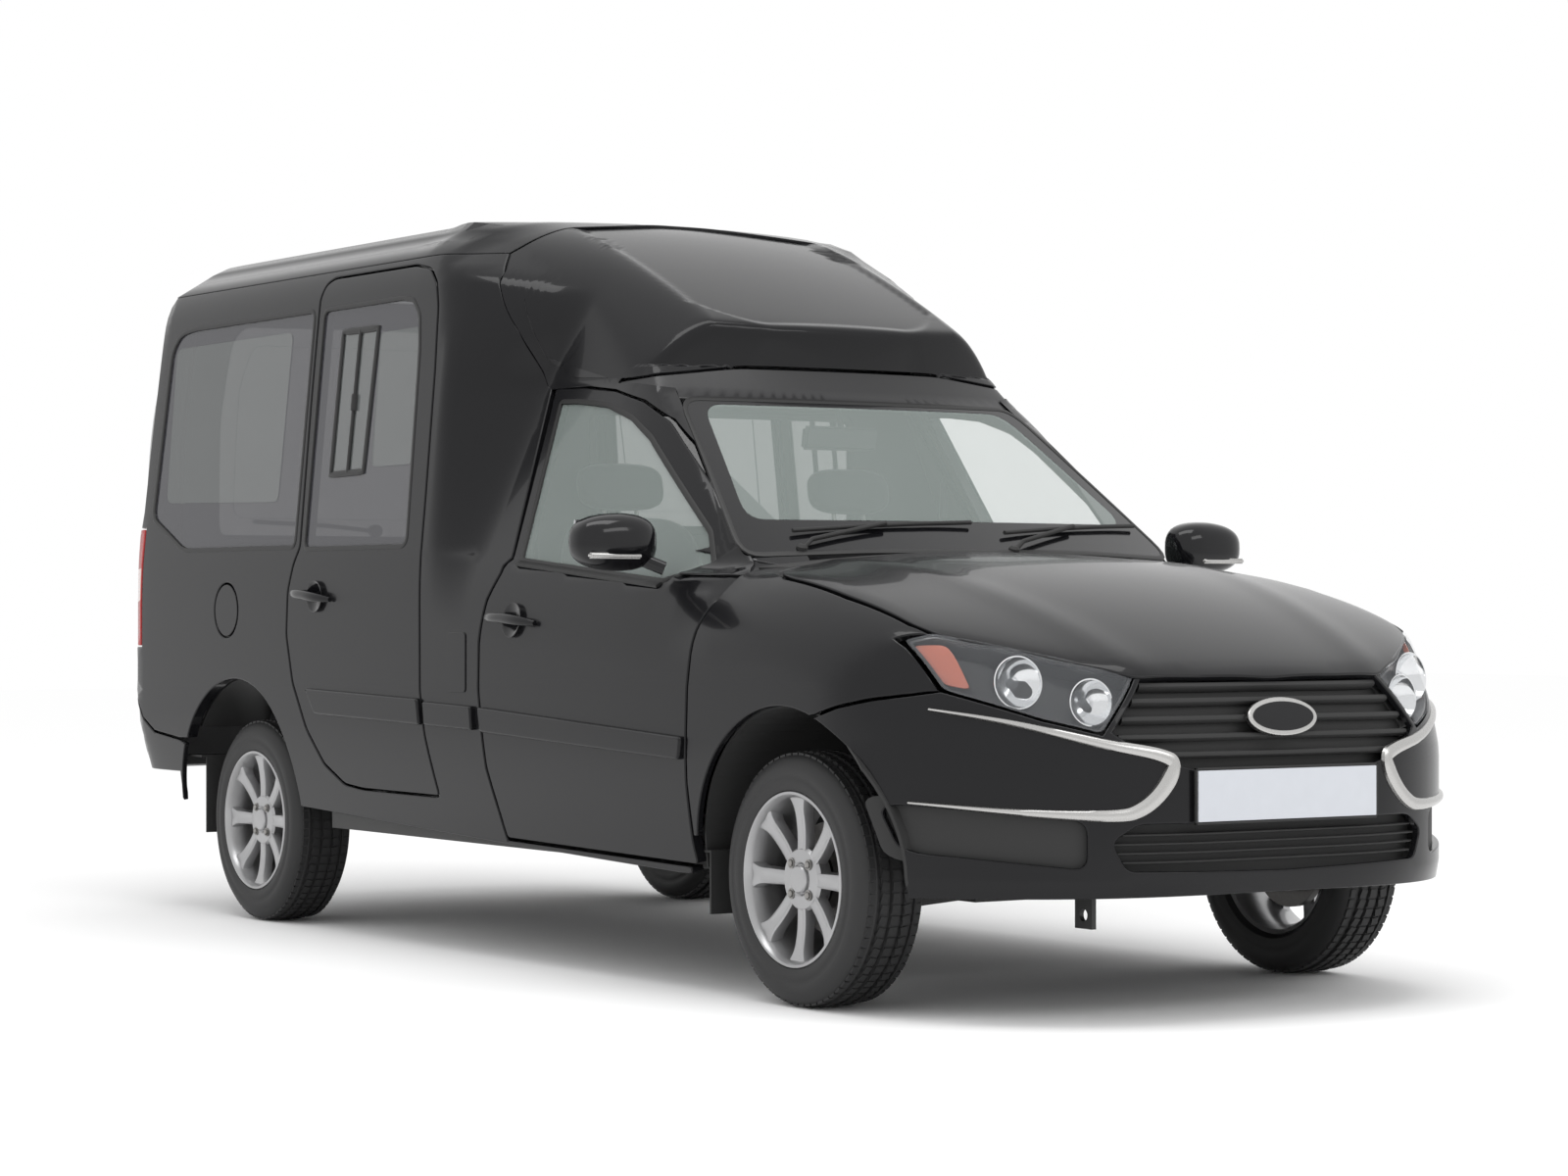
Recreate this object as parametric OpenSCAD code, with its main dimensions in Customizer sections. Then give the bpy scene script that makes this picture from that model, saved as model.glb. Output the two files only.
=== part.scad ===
// Small high-roof hearse: a compact car front with a raised load body behind the seats.
// +X forward, +Y to the car's left, +Z up. The origin is on the ground, under the
// middle of the overall length and on the centre line. Millimetres.

/* [Overall] */
// Front bumper to rear bumper
overall_length = 4450; // [4200:10:4700]
// Half of the body's width at its widest
half_width = 850; // [800:5:900]
// Height of the raised roof behind the cap
roof_z = 1966; // [1900:2:2100]
// Height of the cap's highest line
cap_top_z = 1976; // [1910:2:2110]
// Front axle, from the origin
front_axle_x = 1440; // [1420:2:1460]
// Front axle to rear axle
wheelbase = 2830; // [2790:5:2860]

/* [Wheels] */
// Outer radius of a tyre
tyre_r = 292; // [270:1:305]
// Width of a tyre
tyre_w = 185; // [155:1:205]
// Radius of the rim where the tyre sits
rim_r = 196; // [170:1:205]
// Between the middles of the front tyres
front_track = 1430; // [1390:2:1450]
// Between the middles of the rear tyres
rear_track = 1414; // [1380:2:1430]
// Bolt circle of the wheels
wheel_pcd = 98; // [90:1:114]
// Steering axis, outwards from the centre line
kingpin_y = 650; // [640:1:665]

/* [Body panels] */
// Thickness of the load body's wall and roof, with lining
wall_t = 40; // [25:1:50]
// Thickness of a door
door_t = 55; // [40:1:60]
// Thickness of a front door's window frame
frame_t = 32; // [25:1:40]
// Thickness of wings, bonnet and bumpers
panel_t = 24; // [12:1:30]
// Thickness of window glass
glass_t = 5; // [4:0.5:8]
// Gap around doors, bonnet and tailgate
shut_gap = 6; // [5:0.5:8]
// Radius of the front wheel arch
front_arch_r = 382; // [370:1:395]
// Radius of the rear wheel arch
rear_arch_r = 398; // [380:1:405]

/* [Inside] */
// Top of the cab floor
cab_floor_z = 350; // [330:2:370]
// Top of the load floor
load_floor_z = 580; // [540:2:620]
// Thickness of the floor panels
floor_t = 26; // [15:1:40]
// Front face of the partition behind the seats
partition_x = -95; // [-110:1:-80]
// Thickness of the partition
partition_t = 22; // [12:1:30]
// Top of the coffin deck
deck_z = 672; // [640:2:700]
// Length of the coffin deck
deck_length = 1940; // [1850:10:1950]
// Width of the coffin deck
deck_width = 700; // [560:10:800]

/* [Hidden] */

$fn = 48;
seat_gap = 0.3;
front_x = overall_length / 2;
rear_x = -overall_length / 2;
rear_axle_x = front_axle_x - wheelbase;
tail_x = rear_x + 53;
axle_z = tyre_r;
arch_z = axle_z + 13;
tail_top_z = 1886;
tail_hinge_x = -2062;
side_bulge = 30;
frame_z = 1072;
liner_t = 4;
paint = [0.06, 0.06, 0.065];
black = [0.03, 0.03, 0.03];
dark = [0.12, 0.12, 0.12];
tint = [0.10, 0.10, 0.11, 0.8];
silver = [0.75, 0.75, 0.76];

// ---- Shape functions: half width, top height and nose of the body ----

function clamp01(t) = min(1, max(0, t));
function smooth(t) = let (u = clamp01(t)) u * u * (3 - 2 * u);
function mix(a, b, t) = a + (b - a) * t;

// Tuck-in below the waist, shared by the whole side
function tuck(z) = 45 * pow(max(0, 600 - z) / 400, 1.6);

// Load body: almost upright, rounding in at the roof
function van_w(z) = half_width - tuck(z)
    - 5 * pow(clamp01((z - 900) / 150), 2)
    - 0.0986 * max(0, z - 1050)
    - 45 * pow(max(0, z - roof_z + 206) / 152, 2.2);

// Cab: waist ledge, then a strong lean inwards
function belt_z(x) = 1021 - 0.0857 * (x - 147);
function cab_w(x, z) = let (b = belt_z(x)) half_width - tuck(z)
    - 40 * pow(clamp01((z - b + 200) / 200), 2)
    - (z > b ? 15 * clamp01((z - b) / 12) : 0)
    - 0.45 * max(0, min(z, 1490) - b) - 0.2 * max(0, z - 1490);

// Bonnet: falls towards the nose and crowns across
bonnet_rear_x = 1117;
bonnet_rear_z = 1048;
bonnet_nose_drop = 282;
function bonnet_z(x, y) = bonnet_rear_z
    - bonnet_nose_drop * pow(max(0, x - bonnet_rear_x) / 1058, 1.9) - 50 * pow(y / 720, 2);
function wing_w(x, z) = let (e = bonnet_z(x, 720)) half_width - tuck(z)
    - 130 * pow(max(0, z - e + 200) / 200, 2);

// The side as one surface: load body, column, cab, wing
function column_front(z) = -20 + 130 * smooth((z - 1475) / 250);
function column_rear(z) = -230 - 100 * smooth((z - 1500) / 400);
function side_w(x, z) = mix(
    mix(van_w(z), cab_w(x, z), smooth((x - column_rear(z)) / (column_front(z) - column_rear(z)))),
    wing_w(x, z), smooth((x - 960) / 200));

// Roof and cap heights
function ridge_drop(x) = 45 + 145 * clamp01((x + 335) / 723);
function cap_centre(x) = x > -340 ? cap_top_z - 335 * pow((x + 340) / 830, 1.3)
    : cap_top_z - (cap_top_z - roof_z) * smooth((-340 - x) / 250);
function cap_drop(x, y) = y < 380 ? 12 * pow(y / 380, 2)
    : y < 565 ? 12 + (ridge_drop(x) - 12) * pow((y - 380) / 185, 1.5)
    : ridge_drop(x) + mix(0.45, 1.6, clamp01((x + 69) / 270)) * (y - 565);
function roof_drop(y) = y < 600 ? 8 * pow(y / 600, 2)
    : 8 + 46 * smooth((y - 600) / 60) + 0.3 * max(0, y - 660);
function top_z(x, y) = let (z = cap_centre(x) - mix(roof_drop(y), cap_drop(x, y), smooth((x + 440) / 160)))
    x > 150 ? max(z, 1505) : z;

// Windscreen, visor strip and the cap's front face
screen_base_z = 1055;
screen_top_z = 1460;
visor_top_z = 1529;
function screen_x(y, z) = let (t = (z - screen_base_z) / (screen_top_z - screen_base_z))
    z < screen_top_z ? mix(1085 - 110 * pow(y / 700, 2), 522 - 55 * pow(y / 600, 2), t)
    : z < visor_top_z ? mix(522, 480, (z - screen_top_z) / 69)
        - mix(55, 86, (z - screen_top_z) / 69) * pow(y / 600, 2)
    : 480 + 20 * smooth((z - visor_top_z) / 30) - 90 * pow(y / 560, 2);

// Nose: upright at the number plate, laid back above and tucked in below
function nose_centre(z) = front_x - plate_t - (z > 560 ? 46 * pow((z - 560) / 206, 1.5)
    : z > 320 ? 0 : 40 * pow((320 - z) / 80, 2));
function nose_x(y, z) = let (t = clamp01((z - 600) / 165))
    nose_centre(z) - mix(500, 430, t) * pow(y / 850, mix(3.5, 2.7, t));

// Tail: upright, leaning in near the roof, with rounded corners
function tail_face_x(y, z) = tail_x + 100 * pow(clamp01((z - 1200) / 720), 2.4)
    + 35 * pow(y / 800, 6);

// ---- Solids bounded by those functions ----

function span(a, b, n) = [for (i = [0:n]) a + (b - a) * i / n];

// Closed grid between two sheets of points of the same size
module between(near, far) {
    m = len(near);
    n = len(near[0]);
    points = concat([for (r = near) each r], [for (r = far) each r]);
    function a(i, j) = i * n + j;
    function b(i, j) = m * n + i * n + j;
    faces = concat(
        [for (i = [0:m - 2], j = [0:n - 2]) each [[a(i, j), a(i + 1, j), a(i + 1, j + 1)],
            [a(i, j), a(i + 1, j + 1), a(i, j + 1)]]],
        [for (i = [0:m - 2], j = [0:n - 2]) each [[b(i, j), b(i + 1, j + 1), b(i + 1, j)],
            [b(i, j), b(i, j + 1), b(i + 1, j + 1)]]],
        [for (i = [0:m - 2]) each [[a(i + 1, 0), a(i, 0), b(i, 0)], [a(i + 1, 0), b(i, 0), b(i + 1, 0)],
            [a(i, n - 1), a(i + 1, n - 1), b(i + 1, n - 1)],
            [a(i, n - 1), b(i + 1, n - 1), b(i, n - 1)]]],
        [for (j = [0:n - 2]) each [[a(0, j), a(0, j + 1), b(0, j + 1)], [a(0, j), b(0, j + 1), b(0, j)],
            [a(m - 1, j + 1), a(m - 1, j), b(m - 1, j)],
            [a(m - 1, j + 1), b(m - 1, j), b(m - 1, j + 1)]]]);
    polyhedron(points, faces, convexity = 6);
}

// Everything between the two sides, t inside the outer surface
side_xs = concat(span(-2240, -400, 4), span(-330, 160, 9), span(260, 1000, 4), span(1060, 1180, 2),
    span(1300, 2260, 6));
side_zs = concat(span(200, 600, 4), [800, 880, 940, 990, 1030, 1060, 1180, 1300, 1480, 1560, 1660, 1760],
    span(1800, 1990, 5));
module sides(t) between(
    [for (x = side_xs) [for (z = side_zs) [x, side_w(x, z) - t, z]]],
    [for (x = side_xs) [for (z = side_zs) [x, -side_w(x, z) + t, z]]]);

// Everything below roof and cap, ahead of the tail and behind the screen
roof_ys = concat(span(0, 380, 3), [430, 480, 520, 565, 600, 630, 660, 860]);
both_ys = concat([for (i = [len(roof_ys) - 1:-1:1]) -roof_ys[i]], roof_ys);
roof_xs = concat([-2240, -1500], span(-600, 600, 12), [1500]);
module under_roof(t) between(
    [for (x = roof_xs) [for (y = both_ys) [x, y, 100]]],
    [for (x = roof_xs) [for (y = both_ys) [x, y, top_z(x, abs(y)) - t]]]);
screen_ys = span(-860, 860, 12);
screen_zs = [100, screen_base_z, 1250, screen_top_z, visor_top_z, visor_top_z + 15, visor_top_z + 32, 2100];
module behind_screen(t) between(
    [for (y = screen_ys) [for (z = screen_zs) [-2400, y, z]]],
    [for (y = screen_ys) [for (z = screen_zs) [screen_x(y, max(z, 800)) - t, y, z]]]);
tail_ys = concat([-860, -820, -780, -700, -550], [0], [550, 700, 780, 820, 860]);
tail_zs = [100, 1200, 1400, 1550, 1680, 1780, 1860, 1930, 2000];
module ahead_of_tail(t) between(
    [for (y = tail_ys) [for (z = tail_zs) [tail_face_x(abs(y), z) + t, y, z]]],
    [for (y = tail_ys) [for (z = tail_zs) [2400, y, z]]]);

// Everything below the bonnet and behind the nose
bonnet_xs = span(960, 2240, 10);
bonnet_ys = span(-860, 860, 12);
module under_bonnet(t) between(
    [for (x = bonnet_xs) [for (y = bonnet_ys) [x, y, 100]]],
    [for (x = bonnet_xs) [for (y = bonnet_ys) [x, y, bonnet_z(x, y) - t]]]);
nose_ys = concat(span(-860, -700, 3), [-620, -520, -400, -250, 0, 250, 400, 520, 620], span(700, 860, 3));
nose_zs = [200, 240, 280, 320, 560, 640, 700, 766, 850, 960, 1100];
module behind_nose(t) between(
    [for (y = nose_ys) [for (z = nose_zs) [700, y, z]]],
    [for (y = nose_ys) [for (z = nose_zs) [nose_x(abs(y), z) - t, y, z]]]);

module upper(t) intersection() {
    sides(t);
    under_roof(t);
    behind_screen(t);
    ahead_of_tail(t);
}
module nose(t) intersection() {
    sides(t);
    under_bonnet(t);
    behind_nose(t);
}
module upper_skin(t) difference() {
    upper(0);
    upper(t);
}
module nose_skin(t) difference() {
    nose(0);
    nose(t);
}

// Extrusions of an outline drawn from the side, the front and above
module seen_from_side(y0, y1) translate([0, y1, 0]) rotate([90, 0, 0]) linear_extrude(y1 - y0) children();
module seen_from_front(x0, x1) translate([x0, 0, 0]) rotate([90, 0, 90]) linear_extrude(x1 - x0) children();
module seen_from_above(z0, z1) translate([0, 0, z0]) linear_extrude(z1 - z0) children();
module on_both_sides() {
    children();
    mirror([0, 1, 0]) children();
}
module whole() resize([0, 0, 0]) children();

// ---- Outlines ----

// Front door, seen from the side
front_door_points = [[164, 322], [1090, 304], [1066, 359], [1052, 500], [1062, 722], [1084, 858],
    [1106, 930], [1112, 985], [1010, 1058], [905, 1132], [562, 1378], [440, 1432], [300, 1466],
    [150, 1482], [4, 1485], [32, 1400], [128, 1040], [122, 1000], [84, 930], [60, 820], [56, 700],
    [90, 500], [136, 395]];
// Room behind the door's leaning frame, which swings back a little before it swings out
front_swing_points = [[-19, 1485], [7, 1400], [126, 1040], [400, 1200], [300, 1485]];
front_window_points = [[172, 1032], [862, 974], [930, 1010], [866, 1094], [526, 1339], [425, 1392],
    [294, 1430], [145, 1446], [38, 1450]];
// Side door: top corners rounded, lower rear corner follows the wheel arch
side_door_points = [[-184, 415], [-244, 573], [-270, 690], [-272, 920], [-276, 1206], [-286, 1540],
    [-300, 1715], [-322, 1780], [-372, 1820], [-463, 1836], [-950, 1836], [-990, 1822],
    [-1008, 1785], [-1006, 1500], [-995, 1080], [-1030, 1030], [-1058, 957], [-1066, 833], [-1027, 701],
    [-939, 571], [-841, 478], [-726, 426], [-620, 417]];
side_window_points = [[-358, 1090], [-380, 1074], [-960, 1074], [-972, 1090], [-978, 1735],
    [-962, 1750], [-500, 1752], [-440, 1742], [-398, 1700], [-380, 1600]];
quarter_window_points = [[-1030, 1080], [-1775, 1080], [-1945, 1180], [-1937, 1690],
    [-1900, 1740], [-1830, 1750], [-1036, 1752]];
// Bonnet, seen from above, left half
bonnet_half = [[1117, 0], [1128, 260], [1160, 470], [1195, 600], [1238, 700], [1300, 720], [1560, 724],
    [1780, 712], [1850, 692], [1905, 650], [2040, 500], [2128, 355], [2162, 200], [2190, 0]];
// Headlamp, grille and air intake, seen from the front
lamp_points = [[352, 765], [631, 842], [700, 858], [752, 842], [714, 729], [568, 667], [461, 636]];
grille_half = [[0, 775], [335, 768], [440, 640], [370, 586], [262, 558], [0, 556]];
intake_half = [[0, 440], [330, 440], [405, 400], [380, 345], [0, 338]];
tail_opening_half = [[0, 700], [690, 700], [700, 900], [690, 1400], [664, 1780], [640, 1850], [590, 1880],
    [570, tail_top_z], [0, tail_top_z]];
tail_glass_half = [[0, 1130], [560, 1130], [560, 1500], [536, 1740], [500, 1790], [0, 1800]];

function mirrored(half) = concat(half, [for (i = [len(half) - 1:-1:0])
    if (half[i][0] != 0) [-half[i][0], half[i][1]]]);
function mirrored_y(half) = concat(half, [for (i = [len(half) - 1:-1:0])
    if (half[i][1] != 0) [half[i][0], -half[i][1]]]);

module sill_line() polygon([[-2400, 100], [2400, 100], [2400, 262], [983, 281], [123, 306], [-1049, 350],
    [-1500, 470], [-1700, 511], [-1980, 533], [-2073, 578], [-2144, 690], [-2400, 700]]);
module arch(x, r) translate([x, arch_z]) circle(r, $fn = 64);
module arches() {
    arch(front_axle_x + 18, front_arch_r);
    arch(rear_axle_x - 22, rear_arch_r);
}

// ---- Body ----

// Wall of the load body, column, roof rails, pillars and waist of the cab
module body_shell() color(paint) whole() {
    shell_walls();
    hinge_leaves();
    bonnet_hinge_leaves();
}
module shell_walls() difference() {
    union() {
        difference() {
            upper_skin(wall_t);
            seen_from_side(-900, 900) polygon([[1040, 100], [2400, 100], [2400, 2200], [1200, 2200],
                [1200, 1075], [1126, 1000], [1104, 930], [1078, 858], [1040, 722]]);
            cap_cut(0);
        }
        cowl();
    }
    on_both_sides() {
        door_space(front_door_points, door_t);
        door_space(front_swing_points, door_t);
        door_space(side_door_points, wall_t);
        seen_from_side(500, 900) polygon(quarter_window_points);
        seen_from_side(560, 900) arches();
    }
    seen_from_side(-900, 900) sill_line();
    seen_from_front(tail_x - 228, tail_x + 192) offset(shut_gap) polygon(mirrored(tail_opening_half));
    windscreen_cut();
    translate([fuel_x, -900, fuel_z]) rotate([-90, 0, 0]) cylinder(h = 72, r = fuel_r + shut_gap);
    on_both_sides() seen_from_front(tail_x - 228, tail_x + 92) offset(1) tail_lamp_outline();
}

// Hinge leaves of the doors and the tailgate, standing in the shut gaps
leaf_w = 20;
module hinge_leaves() {
    on_both_sides() {
        for (z = [720, 900]) translate([side_leaf_x(z) + seat_gap, 812, z])
            cube([shut_gap + 4, leaf_w, 70]);
        translate([tail_hinge_x, 260, tail_top_z + seat_gap]) cube([18, 80, shut_gap + 6]);
    }
    translate([fuel_x + 40, 1 - side_w(fuel_x, fuel_z) + fuel_flap_t + seat_gap, fuel_z - 20])
        cube([30, 18, 40]);
}
function side_leaf_x(z) = z < 800 ? -270.3 : -271.9;
function front_leaf_x(z) = z < 600 ? 1054.8 : 1073;

// Panel under the windscreen, from wing to wing
cowl_half = [[1110, 0], [1122, 260], [1154, 470], [1184, 600], [1196, 640], [1000, 640], [1040, 0]];
module cowl() intersection() {
    nose_skin(panel_t);
    seen_from_above(700, 1200) polygon(mirrored_y(cowl_half));
}
module bonnet_hinge_leaves() on_both_sides() {
    intersection() {
        nose(panel_t - 4);
        translate([1070, 380, 940]) cube([36, 60, 160]);
    }
    intersection() {
        nose(panel_t + seat_gap);
        translate([1070, 380, 940]) cube([80, 60, 160]);
    }
}
module windscreen_outline(grow) offset(grow) polygon([[-648, 1075], [648, 1075], [520, 1440],
    [-520, 1440]]);
module windscreen_cut() seen_from_front(300, 1400) windscreen_outline(0);

// The raised roof cap sits on the cab roof and runs back to the seam
module cap_cut(gap) seen_from_side(-900, 900) polygon([[700, screen_top_z - 12 - gap],
    [470, screen_top_z - 12 - gap], [430, 1496 - gap], [-30, 1496 - gap], [-75 - gap, 1640],
    [-150 - gap, 1800], [-235 - gap, 1890], [-330 - gap, 1950], [-372 - gap, 2100], [700, 2100]]);
module roof_cap() color(paint) whole() intersection() {
    upper_skin(wall_t * 0.5);
    cap_cut(-1);
}

module tail_lamp_outline() polygon([[796, 800], [846, 800], [846, 1140], [796, 1150]]);
module tail_lamps() color([0.5, 0.02, 0.02]) whole() on_both_sides() intersection() {
    upper_skin(wall_t - 8);
    seen_from_front(tail_x - 228, tail_x + 92) tail_lamp_outline();
}

module quarter_windows() color(tint) whole() on_both_sides() intersection() {
    difference() {
        sides(4);
        sides(4 + glass_t);
    }
    seen_from_side(500, 900) offset(delta = -0.3) polygon(quarter_window_points);
}
module windscreen() color([0.3, 0.4, 0.38, 0.4]) whole() intersection() {
    difference() {
        behind_screen(3);
        behind_screen(3 + glass_t);
    }
    seen_from_front(300, 1400) windscreen_outline(-0.3);
}

// ---- Front panels ----

module seam_above() seen_from_side(-900, 900) polygon([[1100, 330], [1064, 345], [1060, 500],
    [1070, 722], [1090, 858], [1114, 930], [1122, 990], [1170, 1062], [1170, 1200], [2400, 1200],
    [2400, 735], [1912, 730], [1673, 690], [1560, 652], [1520, 600], [1500, 260]]);
module bonnet_area(grow) seen_from_above(600, 1200) offset(grow) polygon(mirrored_y(bonnet_half));
module lamp_area(grow) on_both_sides() seen_from_front(front_x - 465, front_x + 15) offset(grow) polygon(lamp_points);

module front_fenders() color(paint) whole() {
    difference() {
        intersection() {
            nose_skin(panel_t);
            seam_above();
        }
        bonnet_area(shut_gap + lift_room / 2);
        lamp_area(1);
        seen_from_above(600, 1200) offset(1) polygon(mirrored_y(cowl_half));
        seen_from_side(-900, 900) arches();
        seen_from_side(-900, 900) sill_line();
        seen_from_side(-900, 900) offset(shut_gap) polygon(front_door_points);
        cube([5000, 1240, 5000], center = true);
    }
    // Hinge leaves of the front doors, standing in the shut gap
    on_both_sides() for (z = [500, 800]) translate([front_leaf_x(z) + seat_gap, 812, z])
        cube([shut_gap + 12, leaf_w, 60]);
}
bonnet_lip_z = 745;
lift_room = 5;
module bonnet() color(paint) whole() intersection() {
    nose_skin(panel_t);
    bonnet_area(0);
    translate([0, 0, bonnet_lip_z]) linear_extrude(500) square(5000, center = true);
}

module front_bumper() color(paint) whole() difference() {
    nose_skin(panel_t);
    minkowski() {
        seam_above();
        cube(2, center = true);
    }
    translate([-2400, -1000, 0]) cube([3960, 2000, 2400]);
    seen_from_side(-900, 900) arches();
    lamp_area(1);
    bonnet_area(shut_gap + lift_room);
    seen_from_front(front_x - 465, front_x + 15) polygon(mirrored(grille_half));
    seen_from_front(front_x - 465, front_x + 15) polygon(mirrored(intake_half));
    seen_from_side(-900, 900) polygon([[1500, 100], [2400, 100], [2400, 268], [2150, 262], [1850, 256],
        [1500, 256]]);
    translate([1500, -1000, 735]) cube([340, 2000, 200]);
    plate_holes(front_x, front_plate_z, 4);
}

// Slats between two side posts, behind the grille opening
module grille() color(black) whole() intersection() {
    union() {
        for (z = [628 : 44 : 720]) translate([2110, -330, z]) cube([100, 660, 14]);
        translate([2110, -430, 584]) cube([100, 860, 14]);
        for (y = [-330 : 66 : 330]) translate([2110, y - 4, 566]) cube([75, 8, 172]);
        for (z = [352 : 26 : 430]) translate([2110, -430, z]) cube([100, 860, 8]);
        for (y = [-330, 0, 322]) translate([2110, y, 345]) cube([60, 8, 92]);
        for (y = [-280, 272]) translate([2110, y, 430]) cube([14, 8, 160]);
    }
    nose(panel_t + seat_gap);
}

// A headlamp keeps clear of the bonnet's skin above it
module headlamps() color([0.8, 0.8, 0.8, 0.6]) whole() on_both_sides() {
    difference() {
        lamp_block(3);
        bonnet_area(shut_gap + lift_room);
    }
    lamp_block(panel_t + shut_gap);
}
module lamp_block(depth) intersection() {
    difference() {
        nose(depth);
        nose(90);
    }
    seen_from_front(front_x - 465, front_x + 15) polygon(lamp_points);
    translate([1700, 0, 0]) cube([800, 800, 1000]);
}

module number_plates() color([0.9, 0.9, 0.9]) {
    number_plate(front_x, 1, front_plate_z);
    number_plate(rear_x, -1, rear_plate_z);
}
plate_w = 520;
plate_h = 112;
plate_t = 6;
plate_hole_spacing = 400;
front_plate_z = 499;
rear_plate_z = 560;
module number_plate(x, dir, z) difference() {
    translate([x - dir * (plate_t - seat_gap) / 2, 0, z])
        cube([plate_t - seat_gap, plate_w, plate_h], center = true);
    plate_holes(x, z, 3);
}
module plate_holes(x, z, r) for (s = [-1, 1]) translate([x - 60, s * plate_hole_spacing / 2, z])
    rotate([0, 90, 0]) cylinder(h = 120, r = r, $fn = 32);

// Rear bumper: wraps the tail below the tailgate, laid back towards its lower edge
function bumper_x(y, z) = rear_x + plate_t + 60 * pow(y / 800, 4) + 70 * pow(max(0, 650 - z) / 200, 1.5);
bumper_zs = [300, 400, 460, 520, 580, 650, 760];
module ahead_of_bumper(t) between(
    [for (y = tail_ys) [for (z = bumper_zs) [bumper_x(abs(y), z) + t, y, z]]],
    [for (y = tail_ys) [for (z = bumper_zs) [2400, y, z]]]);
bumper_top_z = 690;
module rear_bumper() color(paint) whole() difference() {
    union() {
        intersection() {
            sides(-4);
            ahead_of_bumper(0);
            seen_from_side(-900, 900) polygon([[-2400, bumper_top_z], [-2148, bumper_top_z], [-2077, 574],
                [-1982, 529], [-1712, 507], [-1600, 470], [-1600, 388], [-2010, 440], [-2400, 446]]);
        }
        translate([rear_x + plate_t, -230, rear_plate_z - 50]) cube([54, 460, 100]);
    }
    intersection() {
        sides(panel_t);
        ahead_of_bumper(panel_t);
        cube([5000, 2000, 2 * (bumper_top_z - 20)], center = true);
        translate([-2300, -1000, 0]) cube([700, 2000, bumper_top_z - 20]);
    }
    intersection() {
        sides(panel_t);
        translate([-2148, -1000, 0]) cube([700, 2000, 800]);
    }
    seen_from_side(-900, 900) arches();
    plate_holes(rear_x, rear_plate_z, 4);
}

// ---- Doors and openings that move ----

module side_band(t) difference() {
    sides(-side_bulge);
    sides(t);
}
module door_body(points, window, t) difference() {
    intersection() {
        upper(0);
        side_band(t);
        seen_from_side(400, 900) polygon(points);
    }
    seen_from_side(400, 900) polygon(window);
}
module door_space(points, t) intersection() {
    side_band(t + shut_gap);
    seen_from_side(400, 900) offset(shut_gap) polygon(points);
}
module door_glass(window) intersection() {
    difference() {
        sides(4);
        sides(4 + glass_t);
    }
    seen_from_side(400, 900) offset(delta = -0.3) polygon(window);
}
module front_door() color(paint) whole() difference() {
    door_body(front_door_points, front_window_points, door_t);
    seen_from_side(400, 900) offset(liner_t + shut_gap + 1) arches();
    intersection() {
        sides(frame_t);
        translate([-200, 0, frame_z]) cube([1400, 900, 600]);
    }
}
module left_front_door() front_door();
module right_front_door() mirror([0, 1, 0]) front_door();
module left_front_window() color(tint) whole() door_glass(front_window_points);
module right_front_window() mirror([0, 1, 0]) left_front_window();
module side_door() color(paint) whole() door_body(side_door_points, side_window_points, wall_t);
module left_side_door() side_door();
module right_side_door() mirror([0, 1, 0]) side_door();
module left_side_window() color(tint) whole() door_glass(side_window_points);
module right_side_window() mirror([0, 1, 0]) left_side_window();

module mirror_shell() color(black) whole() difference() {
    hull() {
        translate([835, 870, 1030]) sphere(30, $fn = 24);
        translate([800, 985, 1050]) sphere(28, $fn = 24);
        translate([828, 862, 1098]) sphere(30, $fn = 24);
        translate([795, 975, 1100]) sphere(26, $fn = 24);
        translate([870, 900, 1060]) sphere(40, $fn = 24);
        translate([890, 770, 1000]) sphere(16, $fn = 24);
    }
    sides(-seat_gap);
}
module left_mirror() mirror_shell();
module right_mirror() mirror([0, 1, 0]) mirror_shell();

module tailgate() color(paint) whole() difference() {
    intersection() {
        upper_skin(wall_t);
        seen_from_front(tail_x - 228, tail_x + 182) polygon(mirrored(tail_opening_half));
    }
    seen_from_front(tail_x - 228, tail_x + 192) polygon(mirrored(tail_glass_half));
}
module tailgate_window() color(tint) whole() intersection() {
    difference() {
        ahead_of_tail(4);
        ahead_of_tail(4 + glass_t);
    }
    seen_from_front(tail_x - 228, tail_x + 192) offset(delta = -0.3) polygon(mirrored(tail_glass_half));
}

fuel_x = -1467;
fuel_z = 902;
fuel_r = 75;
fuel_flap_t = 5;
module fuel_flap() color(paint) translate([fuel_x, -side_w(fuel_x, fuel_z) + 1, fuel_z]) rotate([-90, 0, 0])
    cylinder(h = fuel_flap_t, r = fuel_r);

// ---- Floor and inside ----

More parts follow.
